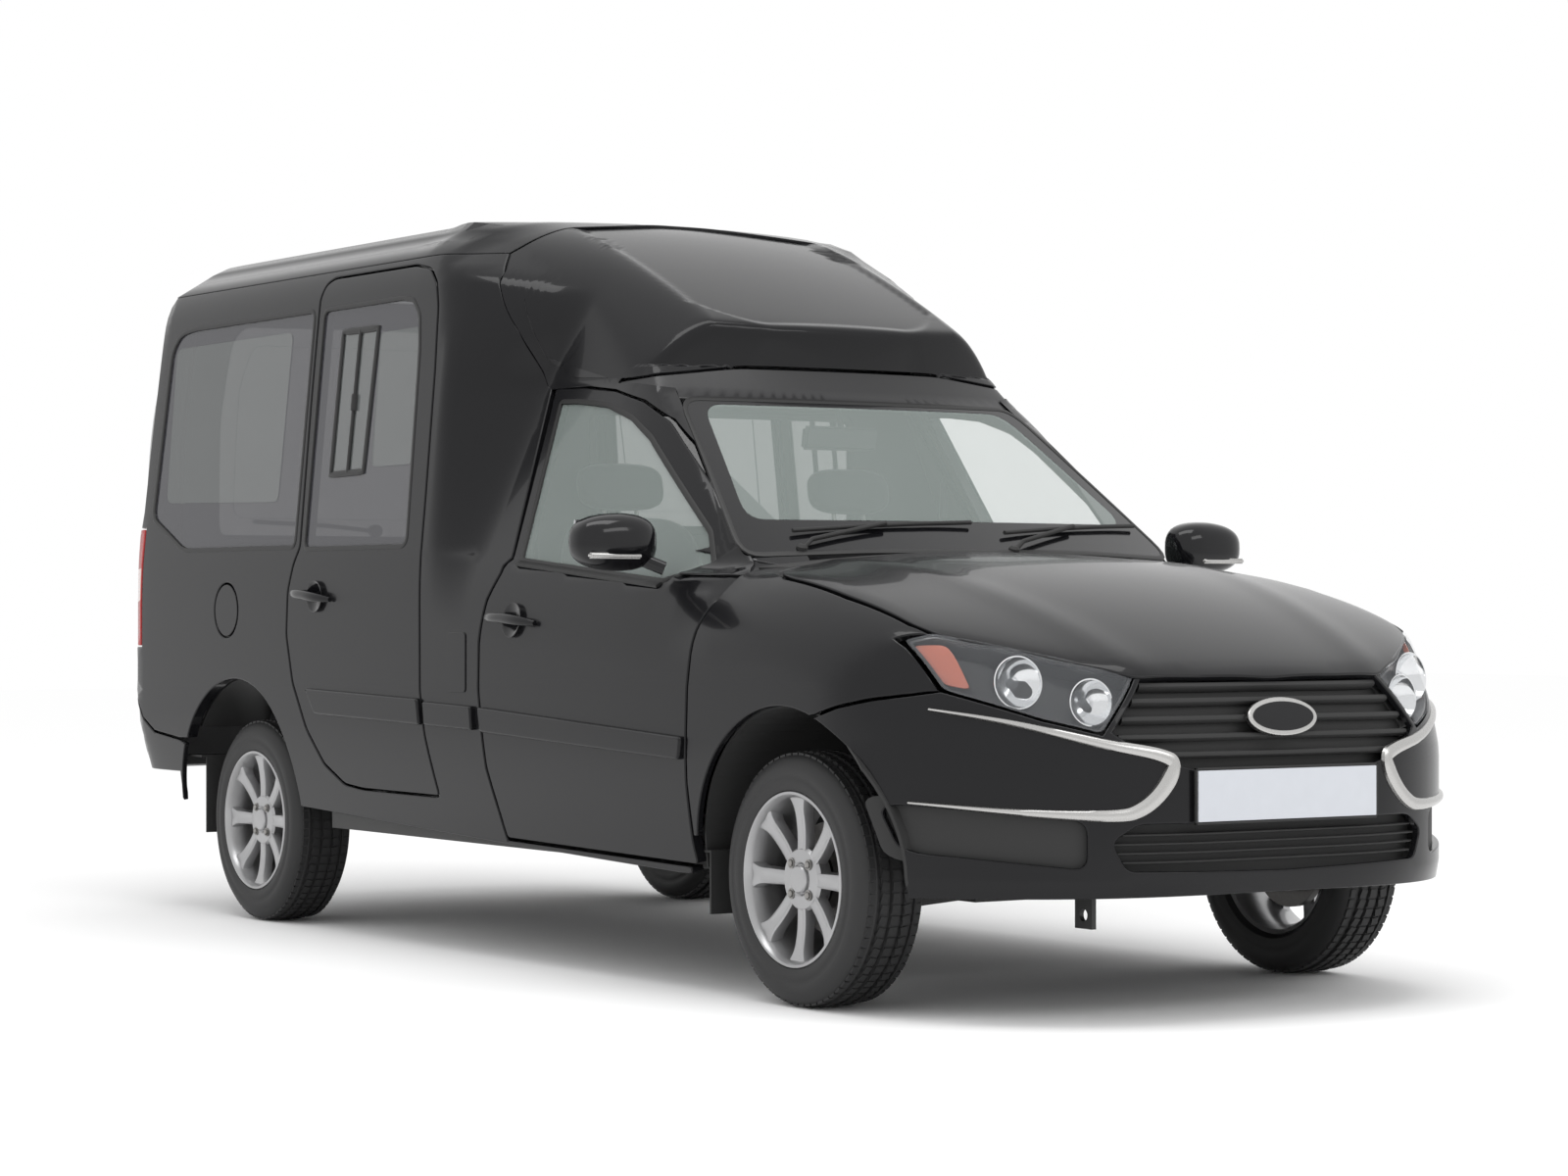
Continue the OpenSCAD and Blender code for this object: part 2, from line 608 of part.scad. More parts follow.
tow_bore_r = 14;
module floor_pan() color(dark) {
    cab_floor();
    load_floor();
    on_both_sides() {
        sill_member();
        front_rail();
        rear_housing();
    }
}
sill_bottom_z = 290;
sill_y = half_width - tuck(sill_bottom_z) - door_t - shut_gap;
load_floor_y = half_width - tuck(load_floor_z - floor_t - 20) - wall_t - seat_gap;
bulkhead_x = 1040;
step_x = partition_x - 130;
module cab_floor() {
    translate([step_x, -sill_y + 10, cab_floor_z - floor_t])
        cube([bulkhead_x - step_x, 2 * sill_y - 20, floor_t]);
    translate([bulkhead_x - 20, -640, cab_floor_z - floor_t]) cube([20, 1280, 460]);
    translate([bulkhead_x - 20, -525, cab_floor_z]) cube([20, 1050, 530]);
}
module load_floor() difference() {
    union() {
        translate([-2105, -load_floor_y, load_floor_z - floor_t])
            cube([2105 + step_x + 20, 2 * load_floor_y, floor_t]);
        translate([step_x, -sill_y + 10, cab_floor_z])
            cube([20, 2 * sill_y - 20, load_floor_z - cab_floor_z]);
        for (y = [-430, 370]) translate([-2105, y, load_floor_z - floor_t - 60])
            cube([2105 + step_x, 60, 60]);
    }
    on_both_sides() {
        rear_wheel_space(0);
        translate([-1080, load_floor_y - shut_gap, 0]) cube([900, 50, 1000]);
    }
}
module sill_member() translate([-960, sill_y - 55, sill_bottom_z]) cube([960 + bulkhead_x, 55, 60]);
module front_rail() {
    translate([bulkhead_x - 20, 380, 440]) cube([1030, 60, 90]);
    translate([bulkhead_x + 60, 425, 530]) cube([650, 15, 285]);
    translate([front_axle_x - 75, 440, 780]) cube([150, 150, 20]);
}
housing_t = 12;
module rear_wheel_space(grow) translate([rear_axle_x - 22, 0, arch_z]) rotate([-90, 0, 0])
    translate([0, 0, 597 - grow]) cylinder(h = 303, r = rear_arch_r + grow, $fn = 64);
module rear_housing() difference() {
    rear_wheel_space(housing_t);
    rear_wheel_space(0);
    translate([-2400, 500, -400]) cube([2000, 500, load_floor_z - floor_t + 400]);
    translate([-2400, load_floor_y, -400]) cube([2000, 200, 2000]);
}
module tow_eyes() color(dark) {
    tow_eye(front_x - 195, -420, 235, 440 - seat_gap);
    tow_eye(rear_x + 110, 400, 345, load_floor_z - floor_t - 60 - seat_gap);
}
module tow_eye(x, y, z, top) difference() {
    translate([x - 30, y - 6, z - 30]) cube([60, 12, top - z + 30]);
    translate([x, y - 20, z]) rotate([-90, 0, 0]) cylinder(h = 40, r = tow_bore_r);
}

module partition() color(dark) whole() difference() {
    intersection() {
        upper(wall_t + seat_gap);
        translate([partition_x - partition_t, -900, cab_floor_z + 232]) cube([partition_t, 1800, 2000]);
    }
    translate([partition_x - 100, -420, 1120]) cube([200, 840, 320]);
}

module seat() {
    hull() {
        translate([60, 130, 560]) cube([440, 480, 20]);
        translate([80, 150, 680]) cube([420, 440, 10]);
        translate([520, 170, 640]) cube([10, 400, 20]);
    }
    hull() {
        translate([40, 140, 688]) cube([110, 460, 10]);
        translate([-60, 170, 1160]) cube([70, 400, 10]);
    }
    hull() {
        translate([-78, 250, 1205]) cube([80, 240, 10]);
        translate([-84, 270, 1355]) cube([60, 200, 10]);
    }
    for (y = [320, 420]) translate([-45, y, 1140]) cylinder(h = 90, r = 6, $fn = 16);
    for (y = [160, 540]) translate([80, y, cab_floor_z]) cube([400, 40, 212]);
}
module left_seat() color(black) seat();
module right_seat() color(black) mirror([0, 1, 0]) seat();

module dashboard() color(black) {
    hull() {
        translate([760, -690, 780]) cube([240, 1380, 20]);
        translate([730, -690, 900]) cube([60, 1380, 20]);
        translate([780, -690, 980]) cube([180, 1380, 10]);
    }
    on_column() translate([0, 0, 40 + seat_gap]) cylinder(h = 150, r = 22);
}

wheel_centre = [640, 366, 905];
column_tilt = 25;
module on_column() translate(wheel_centre) rotate([0, 90 + column_tilt, 0]) children();
module steering_wheel() color(black) on_column() {
    rotate_extrude() translate([180, 0]) circle(14);
    translate([0, 0, -20]) cylinder(h = 60, r = 62);
    for (a = [0, 120, 240]) rotate(a) translate([50, -14, -8]) cube([122, 28, 14]);
}

module deck() color([0.55, 0.55, 0.56]) {
    translate([-2090, -deck_width / 2, deck_z - 16]) cube([deck_length, deck_width, 16]);
    for (y = [-deck_width / 2 + 40, deck_width / 2 - 80]) translate([-2080, y, load_floor_z])
        cube([deck_length - 20, 40, deck_z - 16 - load_floor_z]);
    for (x = [0 : 6]) translate([-2000 + x * 290, 0, deck_z + 14]) rotate([90, 0, 0])
        cylinder(h = deck_width - 140, r = 14, center = true, $fn = 24);
}

// ---- Running gear ----

module engine() color(dark) translate([1205, -260, 420]) cube([520, 560, 400]);

ball_z = 237;
module front_subframe() color(black) {
    translate([1500, -380, 230]) cube([70, 760, 60]);
    translate([1280, -380, 230]) cube([70, 760, 60]);
    for (s = [-1, 1]) {
        translate([1280, s * 350 - 30, 230]) cube([290, 60, 60]);
        translate([1350, s * 350 - 25, 290]) cube([60, 50, 150]);
        hull() {
            translate([front_axle_x - 130, s * 375, 240]) cylinder(h = 30, r = 25);
            translate([front_axle_x, s * kingpin_y, 205]) cylinder(h = 22, r = 22);
            translate([front_axle_x + 100, s * 375, 240]) cylinder(h = 30, r = 25);
        }
        translate([front_axle_x, s * kingpin_y, 205]) cylinder(h = ball_z - 205, r = 22);
    }
    for (x = [1290, 1510]) translate([x, -40, 290]) cube([50, 80, 130 - seat_gap]);
    translate([2030, -360, 330]) cube([40, 720, 420]);
    translate([1990, -380, 440]) cube([40, 760, 60]);
}

hub_offset = 26;
module knuckle() {
    translate([front_axle_x, 640, axle_z]) rotate([-90, 0, 0])
        cylinder(h = front_track / 2 + hub_offset - seat_gap - 640, r = 50);
    translate([front_axle_x, kingpin_y, ball_z + seat_gap]) cylinder(h = 50, r = 14);
    translate([front_axle_x, 600, axle_z]) rotate([-90, 0, 0]) cylinder(h = 60, r = 45);
    hull() {
        translate([front_axle_x, 585, 300]) cylinder(h = 40, r = 26);
        translate([front_axle_x, 575, 420]) cylinder(h = 10, r = 26);
    }
    translate([front_axle_x, 575, 420]) cylinder(h = 220, r = 26);
    translate([front_axle_x, 575, 560]) cylinder(h = 8, r = 40);
}
module left_knuckle() color(dark) knuckle();
module right_knuckle() color(dark) mirror([0, 1, 0]) knuckle();

under_floor_z = load_floor_z - floor_t - seat_gap;
module rear_axle() color(dark) {
    translate([rear_axle_x + 180, 0, 300]) rotate([90, 0, 0]) cylinder(h = 1060, r = 32, center = true);
    on_both_sides() {
        hull() {
            translate([rear_axle_x, 520, axle_z]) rotate([-90, 0, 0]) cylinder(h = 50, r = 40);
            translate([rear_axle_x + 420, 500, 340]) rotate([-90, 0, 0]) cylinder(h = 50, r = 30);
        }
        translate([rear_axle_x, 565, axle_z]) rotate([-90, 0, 0])
            cylinder(h = rear_track / 2 + hub_offset - seat_gap - 565, r = 42);
        translate([rear_axle_x, 590, axle_z]) rotate([-90, 0, 0]) cylinder(h = 40, r = 105);
        translate([rear_axle_x + 60, 490, 330]) cylinder(h = under_floor_z - 330, r = 55);
        translate([rear_axle_x + 420, 470, 350]) cube([40, 110, under_floor_z - 350]);
    }
}

module tyre() rotate([90, 0, 0]) difference() {
    rotate_extrude($fn = 96) polygon(concat([[rim_r, -tyre_w / 2 + 12], [rim_r + 30, -tyre_w / 2],
        [tyre_r - 30, -tyre_w / 2 + 4], [tyre_r - 8, -tyre_w / 2 + 22], [tyre_r, -tyre_w / 2 + 45],
        [tyre_r, tyre_w / 2 - 45], [tyre_r - 8, tyre_w / 2 - 22], [tyre_r - 30, tyre_w / 2 - 4],
        [rim_r + 30, tyre_w / 2], [rim_r, tyre_w / 2 - 12]]));
}
// Rim: barrel, spokes near the outer side, hub with bolt holes
module rim(side) rotate([-90 * side, 0, 0]) {
    rotate_extrude($fn = 96) polygon([[rim_r - 0.3, -78], [rim_r - 0.3, 80], [rim_r - 12, 80],
        [rim_r - 22, 40], [rim_r - 22, -50], [rim_r - 12, -78]]);
    difference() {
        translate([0, 0, hub_offset]) cylinder(h = 40, r = 68);
        for (a = [0 : 90 : 270]) rotate(a + 45) translate([wheel_pcd / 2, 0, 0])
            cylinder(h = 90, r = 7, $fn = 24);
    }
    for (a = [0 : 45 : 315]) rotate(a) translate([0, 0, 44]) linear_extrude(20)
        polygon([[60, -18], [rim_r - 18, -25], [rim_r - 18, 25], [60, 18]]);
}
module wheel_at(x, y) translate([x, y, axle_z]) children();
module front_left_tyre() color(black) wheel_at(front_axle_x, front_track / 2) tyre();
module front_right_tyre() color(black) wheel_at(front_axle_x, -front_track / 2) tyre();
module rear_left_tyre() color(black) wheel_at(rear_axle_x, rear_track / 2) tyre();
module rear_right_tyre() color(black) wheel_at(rear_axle_x, -rear_track / 2) tyre();
module front_left_rim() color(silver) wheel_at(front_axle_x, front_track / 2) rim(1);
module front_right_rim() color(silver) wheel_at(front_axle_x, -front_track / 2) rim(-1);
module rear_left_rim() color(silver) wheel_at(rear_axle_x, rear_track / 2) rim(1);
module rear_right_rim() color(silver) wheel_at(rear_axle_x, -rear_track / 2) rim(-1);

pipe_z = 236;
module exhaust() color([0.4, 0.38, 0.36]) {
    translate([-1545, 260, pipe_z]) rotate([0, 90, 0]) cylinder(h = 2785, r = 24);
    translate([1240, 260, pipe_z]) cylinder(h = 420 - pipe_z - seat_gap, r = 24);
    translate([1240, 260, pipe_z]) sphere(24);
    hull() for (y = [240, 340]) translate([-1950, y, 280]) rotate([0, 90, 0]) cylinder(h = 420, r = 60);
    translate([-1740, 290, 300]) cylinder(h = under_floor_z - 300, r = 6);
}
module fuel_tank() color(black) translate([-900, -364, 250]) cube([560, 580, under_floor_z - 250]);

module wheel_arch_liners() color(black) whole() on_both_sides() {
    intersection() {
        difference() {
            front_wheel_space(liner_t);
            front_wheel_space(-2);
            translate([0, 300, -400]) cube([3000, 600, 700]);
        }
        sides(panel_t + seat_gap);
        behind_nose(panel_t + seat_gap);
    }
    translate([1096, 640, 190]) cube([6, 165, 150]);
    translate([1072, 640, 334]) cube([30, 165, 6]);
    translate([-1712, 620, 240]) cube([6, 180, 230]);
    translate([-1800, 620, 464]) cube([94, 197, 6]);
}
module front_wheel_space(grow) translate([front_axle_x + 18, 0, arch_z]) rotate([-90, 0, 0])
    translate([0, 0, 440 + seat_gap]) cylinder(h = 460, r = front_arch_r + grow, $fn = 64);

body_shell();
roof_cap();
floor_pan();
tow_eyes();
front_fenders();
front_bumper();
rear_bumper();
grille();
headlamps();
tail_lamps();
number_plates();
windscreen();
quarter_windows();
bonnet();
left_front_door();
right_front_door();
left_front_window();
right_front_window();
left_side_door();
right_side_door();
left_side_window();
right_side_window();
left_mirror();
right_mirror();
tailgate();
tailgate_window();
fuel_flap();
partition();
left_seat();
right_seat();
dashboard();
steering_wheel();
deck();
engine();
front_subframe();
left_knuckle();
right_knuckle();
rear_axle();
front_left_tyre();
front_right_tyre();
rear_left_tyre();
rear_right_tyre();
front_left_rim();
front_right_rim();
rear_left_rim();
rear_right_rim();
exhaust();
fuel_tank();
wheel_arch_liners();
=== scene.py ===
"""Looks of a small high-roof hearse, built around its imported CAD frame."""

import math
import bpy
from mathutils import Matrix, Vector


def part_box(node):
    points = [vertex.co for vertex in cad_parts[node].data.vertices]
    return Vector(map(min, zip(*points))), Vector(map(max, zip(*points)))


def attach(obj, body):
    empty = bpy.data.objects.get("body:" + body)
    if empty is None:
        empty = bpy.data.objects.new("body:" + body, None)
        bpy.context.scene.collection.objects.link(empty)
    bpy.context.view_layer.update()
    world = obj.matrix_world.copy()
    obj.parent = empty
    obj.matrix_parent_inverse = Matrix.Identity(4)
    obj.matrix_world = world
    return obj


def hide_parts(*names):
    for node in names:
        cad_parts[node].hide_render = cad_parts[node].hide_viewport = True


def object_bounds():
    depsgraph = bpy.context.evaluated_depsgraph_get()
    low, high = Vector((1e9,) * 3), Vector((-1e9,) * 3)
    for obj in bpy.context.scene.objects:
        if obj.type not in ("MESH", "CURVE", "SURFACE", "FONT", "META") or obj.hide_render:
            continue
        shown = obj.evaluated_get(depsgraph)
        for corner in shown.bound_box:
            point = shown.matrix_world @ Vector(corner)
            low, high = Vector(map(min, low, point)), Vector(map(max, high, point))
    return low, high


bl_info = {
    "name": "High-roof hearse",
    "version": (1, 0, 0),
    "blender": (4, 5, 0),
    "location": "View3D > Sidebar > Hearse",
    "description": "Panels, glass, lamps, wheels and trim of a high-roof hearse",
    "category": "Object",
}

import bpy
import bmesh
import numpy as np
from bpy.props import FloatProperty, FloatVectorProperty, IntProperty, PointerProperty
from mathutils import Vector
from mathutils.geometry import delaunay_2d_cdt

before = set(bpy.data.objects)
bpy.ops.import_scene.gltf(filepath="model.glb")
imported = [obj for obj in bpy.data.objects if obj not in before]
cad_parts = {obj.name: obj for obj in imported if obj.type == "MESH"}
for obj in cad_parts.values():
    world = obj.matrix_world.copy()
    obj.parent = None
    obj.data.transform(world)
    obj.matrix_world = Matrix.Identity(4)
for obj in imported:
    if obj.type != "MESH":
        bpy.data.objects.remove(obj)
CAD_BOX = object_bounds()

# ---------------------------------------------------------------- driving sizes, from the frame

FRONT_X = CAD_BOX[1][0]
REAR_X = CAD_BOX[0][0]
TAIL_X = REAR_X + 0.053
HALF_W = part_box("body_shell")[1][1]
CAP_TOP = 1.976
ROOF_Z = 1.966


def middle(node, axis):
    low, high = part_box(node)
    return (low[axis] + high[axis]) / 2


FRONT_AXLE = middle("front_left_tyre", 0)
REAR_AXLE = middle("rear_left_tyre", 0)
AXLE_Z = middle("front_left_tyre", 2)
TYRE_R = AXLE_Z
FRONT_TRACK = 2 * middle("front_left_tyre", 1)
REAR_TRACK = 2 * middle("rear_left_tyre", 1)
ARCH_Z = AXLE_Z + 0.013
FRONT_ARCH = (FRONT_AXLE + 0.018, ARCH_Z, 0.382)
REAR_ARCH = (REAR_AXLE - 0.022, ARCH_Z, 0.398)
GAP = 0.006

# ---------------------------------------------------------------- shape of the body


def ramp(t):
    return np.clip(t, 0.0, 1.0)


def smooth(t):
    u = ramp(t)
    return u * u * (3 - 2 * u)


def mix(a, b, t):
    return a + (b - a) * t


def above(t):
    return np.maximum(t, 0.0)


def tuck(z):
    return 0.045 * (above(0.6 - z) / 0.4) ** 1.6


def van_w(z):
    return (HALF_W - tuck(z) - 0.005 * ramp((z - 0.9) / 0.15) ** 2 - 0.0986 * above(z - 1.05)
            - 0.045 * (above(z - ROOF_Z + 0.206) / 0.152) ** 2.2)


def belt_z(x):
    return 1.021 - 0.0857 * (x - 0.147)


def cab_w(x, z):
    b = belt_z(x)
    return (HALF_W - tuck(z) - 0.04 * ramp((z - b + 0.2) / 0.2) ** 2 - 0.015 * ramp((z - b) / 0.012)
            - 0.45 * above(np.minimum(z, 1.49) - b) - 0.2 * above(z - 1.49))


def bonnet_z(x, y):
    return 1.048 - 0.282 * (above(x - 1.117) / 1.058) ** 1.9 - 0.05 * (y / 0.72) ** 2


def wing_w(x, z):
    return HALF_W - tuck(z) - 0.13 * (above(z - bonnet_z(x, 0.72) + 0.2) / 0.2) ** 2


def side_w(x, z):
    """Half width of the body: load body, column behind the cab, cab, wing."""
    front = -0.02 + 0.13 * smooth((z - 1.475) / 0.25)
    rear = -0.23 - 0.1 * smooth((z - 1.5) / 0.4)
    w = mix(van_w(z), cab_w(x, z), smooth((x - rear) / (front - rear)))
    return mix(w, wing_w(x, z), smooth((x - 0.96) / 0.2))


def ridge_drop(x):
    return 0.045 + 0.145 * ramp((x + 0.335) / 0.723)


def cap_centre(x):
    rise = CAP_TOP - 0.335 * (above(x + 0.34) / 0.83) ** 1.3
    return np.where(x > -0.34, rise, CAP_TOP - (CAP_TOP - ROOF_Z) * smooth((-0.34 - x) / 0.25))


def cap_drop(x, y):
    y = np.abs(y)
    d = ridge_drop(x)
    near = 0.012 * (y / 0.38) ** 2
    middle_part = 0.012 + (d - 0.012) * (above(y - 0.38) / 0.185) ** 1.5
    outer = d + mix(0.45, 1.6, ramp((x + 0.069) / 0.27)) * (y - 0.565)
    return np.where(y < 0.38, near, np.where(y < 0.565, middle_part, outer))


def roof_drop(y):
    y = np.abs(y)
    return np.where(y < 0.6, 0.008 * (y / 0.6) ** 2,
                    0.008 + 0.046 * smooth((y - 0.6) / 0.06) + 0.3 * above(y - 0.66))


def top_z(x, y):
    return cap_centre(x) - mix(roof_drop(y), cap_drop(x, y), smooth((x + 0.44) / 0.16))


def screen_x(y, z):
    """Windscreen, visor strip above it and the cap's front face."""
    t = (z - 1.055) / 0.405
    glass = mix(1.085 - 0.11 * (y / 0.7) ** 2, 0.522 - 0.055 * (y / 0.6) ** 2, t)
    s = (z - 1.46) / 0.069
    visor = mix(0.522, 0.48, s) - mix(0.055, 0.086, s) * (y / 0.6) ** 2
    cap = 0.48 + 0.02 * ramp((z - 1.529) / 0.12) - 0.09 * (y / 0.56) ** 2
    return np.where(z < 1.46, glass, np.where(z < 1.529, visor, cap))


def nose_centre(z):
    low = FRONT_X - 0.006
    return np.where(z > 0.56, low - 0.046 * (above(z - 0.56) / 0.206) ** 1.5,
                    low - 0.04 * (above(0.32 - z) / 0.08) ** 2)


def nose_x(y, z):
    t = ramp((z - 0.6) / 0.165)
    reach = mix(0.5, 0.43, t) * 1.15
    power = mix(3.5, 2.7, t)
    part = above(1 - (np.minimum(np.abs(y), 0.8499) / 0.85) ** power)
    return nose_centre(z) - reach + reach * part ** (1 / 1.15)


def tail_face(y, z):
    return TAIL_X + 0.1 * ramp((z - 1.2) / 0.72) ** 2.4 + 0.035 * (np.abs(y) / 0.8) ** 6


def soft_max(a, b, k):
    return 0.5 * (a + b + np.sqrt((a - b) ** 2 + k * k))


def upper_field(x, y, z):
    """Below zero inside load body, cap and cab. Under the belt the cap's slope cuts nothing."""
    side = np.abs(y) - side_w(x, z)
    cut = smooth((z - 0.86) / 0.16)
    top = z - mix(ROOF_Z, top_z(x, y), cut)
    front = 0.7 * (x - screen_x(y, z))
    tail = tail_face(y, z) - x
    return soft_max(soft_max(side, top, 0.022), soft_max(front, tail, 0.01), 0.014)


def nose_field(x, y, z):
    """Below zero inside bonnet, wings and front bumper."""
    side = np.abs(y) - side_w(x, z)
    top = z - bonnet_z(x, y)
    front = 0.8 * (x - nose_x(y, z))
    return soft_max(soft_max(side, top, 0.012), front, 0.03)


def tail_field(x, y, z):
    """Below zero inside the rear bumper."""
    side = np.abs(y) - side_w(x, z) - 0.004
    rear = REAR_X + 0.06 * (np.abs(y) / 0.8) ** 4 + 0.07 * (above(0.65 - z) / 0.2) ** 1.5 - x
    return soft_max(side, rear, 0.04)


def reach_out(field, origin, way, near, far):
    """Distance along each ray at which the field crosses zero."""
    lo = np.full(len(origin), near)
    hi = np.full(len(origin), far)
    for _ in range(30):
        mid = (lo + hi) / 2
        p = origin + way * mid[:, None]
        inside = field(p[:, 0], p[:, 1], p[:, 2]) < 0
        lo = np.where(inside, mid, lo)
        hi = np.where(inside, hi, mid)
    return origin + way * ((lo + hi) / 2)[:, None]


# ---------------------------------------------------------------- surfaces: (u, v) to a point


class Surface:
    """A patch of the body. point(uv) gives places, and normal(uv) the outward direction."""

    def __init__(self, point, outward, offset=0.0):
        self.raw = point
        self.outward = outward
        self.offset = offset

    def normal(self, uv):
        h = 0.0015
        du = self.raw(uv + [h, 0]) - self.raw(uv - [h, 0])
        dv = self.raw(uv + [0, h]) - self.raw(uv - [0, h])
        n = np.cross(du, dv)
        n /= np.maximum(np.linalg.norm(n, axis=1), 1e-9)[:, None]
        out = self.outward(self.raw(uv))
        return n * np.where((n * out).sum(1) < 0, -1.0, 1.0)[:, None]

    def point(self, uv, depth=0.0):
        uv = np.asarray(uv, float)
        p = self.raw(uv)
        d = depth - self.offset
        return p if np.all(d == 0) else p - self.normal(uv) * np.reshape(d, (-1, 1))

    def lifted(self, height):
        return Surface(self.raw, self.outward, self.offset + height)


def toward(*way):
    v = np.array(way, float)
    return lambda p: np.broadcast_to(v, p.shape)


def columns(*parts):
    n = max(np.size(p) for p in parts)
    return np.stack([np.broadcast_to(np.asarray(p, float), n) for p in parts], 1)


def side_ray(field):
    def point(uv):
        o = columns(uv[:, 0], 0.0, uv[:, 1])
        return reach_out(field, o, columns(0.0, 1.0, 0.0) + 0 * o, 0.2, 1.0)
    return point


def ring_ray(field, x0, near, far):
    """u is the angle to the left of straight ahead times one metre, v is the height."""
    def point(uv):
        o = columns(x0, 0.0, uv[:, 1])
        return reach_out(field, o, columns(np.cos(uv[:, 0]), np.sin(uv[:, 0]), 0.0), near, far)
    return point


SIDE = Surface(side_ray(upper_field), toward(0, 1, 0))
WING = Surface(side_ray(nose_field), toward(0, 1, 0))
CAB_X0 = 0.1
CAB = Surface(ring_ray(upper_field, CAB_X0, 0.2, 1.4), lambda p: p - [CAB_X0, 0, 1.0])
NOSE_X0 = 1.45
NOSE = Surface(ring_ray(nose_field, NOSE_X0, 0.2, 1.4), lambda p: p - [NOSE_X0, 0, 0.5])
BUMPER_X0 = -1.7


def rear_ray(uv):
    """u is the angle from straight behind, v is the height."""
    o = columns(BUMPER_X0, 0.0, uv[:, 1])
    return reach_out(tail_field, o, columns(-np.cos(uv[:, 0]), np.sin(uv[:, 0]), 0.0), 0.1, 1.2)


REAR = Surface(rear_ray, lambda p: p - [BUMPER_X0, 0, 0.6])


def bonnet_point(uv):
    o = columns(uv[:, 0], uv[:, 1], 0.5)
    return reach_out(nose_field, o, columns(0.0, 0.0, 1.0) + 0 * o, 0.0, 0.8)


BONNET = Surface(bonnet_point, toward(0, 0, 1))


def tail_point(uv):
    return columns(tail_face(uv[:, 0], uv[:, 1]), uv[:, 0], uv[:, 1])


TAIL = Surface(tail_point, toward(-1, 0, 0))


def screen_point(uv):
    return columns(screen_x(uv[:, 0], uv[:, 1]), uv[:, 0], uv[:, 1])


SCREEN = Surface(screen_point, toward(1, 0, 0.5))


def ring_uv(surface_x0, points):
    """Turns points in space into the angle and height of a ring surface."""
    p = np.asarray(points, float)
    return np.stack([np.arctan2(p[:, 1], p[:, 0] - surface_x0), p[:, 2]], 1)


def front_uv(yz):
    """Outline drawn from the front, on the nose."""
    yz = np.asarray(yz, float)
    o = columns(1.2, yz[:, 0], yz[:, 1])
    return ring_uv(NOSE_X0, reach_out(nose_field, o, columns(1.0, 0.0, 0.0) + 0 * o, 0.0, 1.1))


def flank_uv(xz, x0=None, surface=None):
    """Outline drawn from the side, on a ring surface."""
    surface = surface or WING
    x0 = NOSE_X0 if x0 is None else x0
    return ring_uv(x0, surface.point(np.asarray(xz, float)))


# ---------------------------------------------------------------- mesh building


class Shape:
    """Points, faces, corner normals and material numbers, gathered before a mesh is made."""

    def __init__(self):
        self.v = []
        self.f = []
        self.n = []
        self.m = []
        self.count = 0

    def add(self, verts, faces, normals=None, mat=0):
        """normals is one array per corner of every face, or None for plain shading."""
        verts = np.asarray(verts, float)
        self.v.append(verts)
        for k, face in enumerate(faces):
            self.f.append([self.count + int(i) for i in face])
            self.n.append(None if normals is None else normals[k])
            self.m.append(mat if np.ndim(mat) == 0 else int(mat[k]))
        self.count += len(verts)
        return self

    def join(self, other, mirrored=False):
        flip = np.array([1.0, -1.0, 1.0]) if mirrored else np.ones(3)
        base = self.count
        self.v.append(np.concatenate(other.v) * flip)
        for face, normals, m in zip(other.f, other.n, other.m):
            order = face[::-1] if mirrored else face
            self.f.append([base + i for i in order])
            if normals is None:
                self.n.append(None)
            else:
                self.n.append((normals[::-1] if mirrored else normals) * flip)
            self.m.append(m)
        self.count += other.count
        return self

    def both_sides(self):
        return Shape().join(self).join(self, mirrored=True)

    def build(self, name, materials, body, slot, sharp=38, replaces=()):
        mesh = bpy.data.meshes.new(name)
        mesh.from_pydata(np.concatenate(self.v).tolist(), [], self.f)
        for m in materials:
            mesh.materials.append(MATERIALS[m]())
        mesh.polygons.foreach_set("material_index", self.m)
        mesh.polygons.foreach_set("use_smooth", [True] * len(self.f))
        mesh.set_sharp_from_angle(angle=math.radians(sharp))
        if any(n is not None for n in self.n):
            loops = []
            for face, n in zip(self.f, self.n):
                loops.extend(n.tolist() if n is not None else [(0.0, 0.0, 0.0)] * len(face))
            mesh.normals_split_custom_set(loops)
        obj = bpy.data.objects.new(name, mesh)
        bpy.context.scene.collection.objects.link(obj)
        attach(obj, body)
        if replaces:
            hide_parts(*replaces)
        return obj


def rounded(points, radius=0.02, steps=5):
    """Closed outline with rounded corners; a third number on a point is its own radius."""
    out = []
    count = len(points)
    for i, item in enumerate(points):
        r = item[2] if len(item) > 2 else radius
        p = np.array(item[:2], float)
        a = np.array(points[i - 1][:2], float)
        b = np.array(points[(i + 1) % count][:2], float)
        la, lb = np.linalg.norm(a - p), np.linalg.norm(b - p)
        if r <= 0:
            out.append(p)
            continue
        pa = p + (a - p) * min(r / la, 0.5)
        pb = p + (b - p) * min(r / lb, 0.5)
        for k in range(steps + 1):
            t = k / steps
            out.append((1 - t) ** 2 * pa + 2 * t * (1 - t) * p + t * t * pb)
    return tidy(np.array(out))


def tidy(points):
    keep = [points[0]]
    for p in points[1:]:
        if np.linalg.norm(p - keep[-1]) > 1e-4:
            keep.append(p)
    if np.linalg.norm(keep[0] - keep[-1]) < 1e-4:
        keep.pop()
    return np.array(keep)


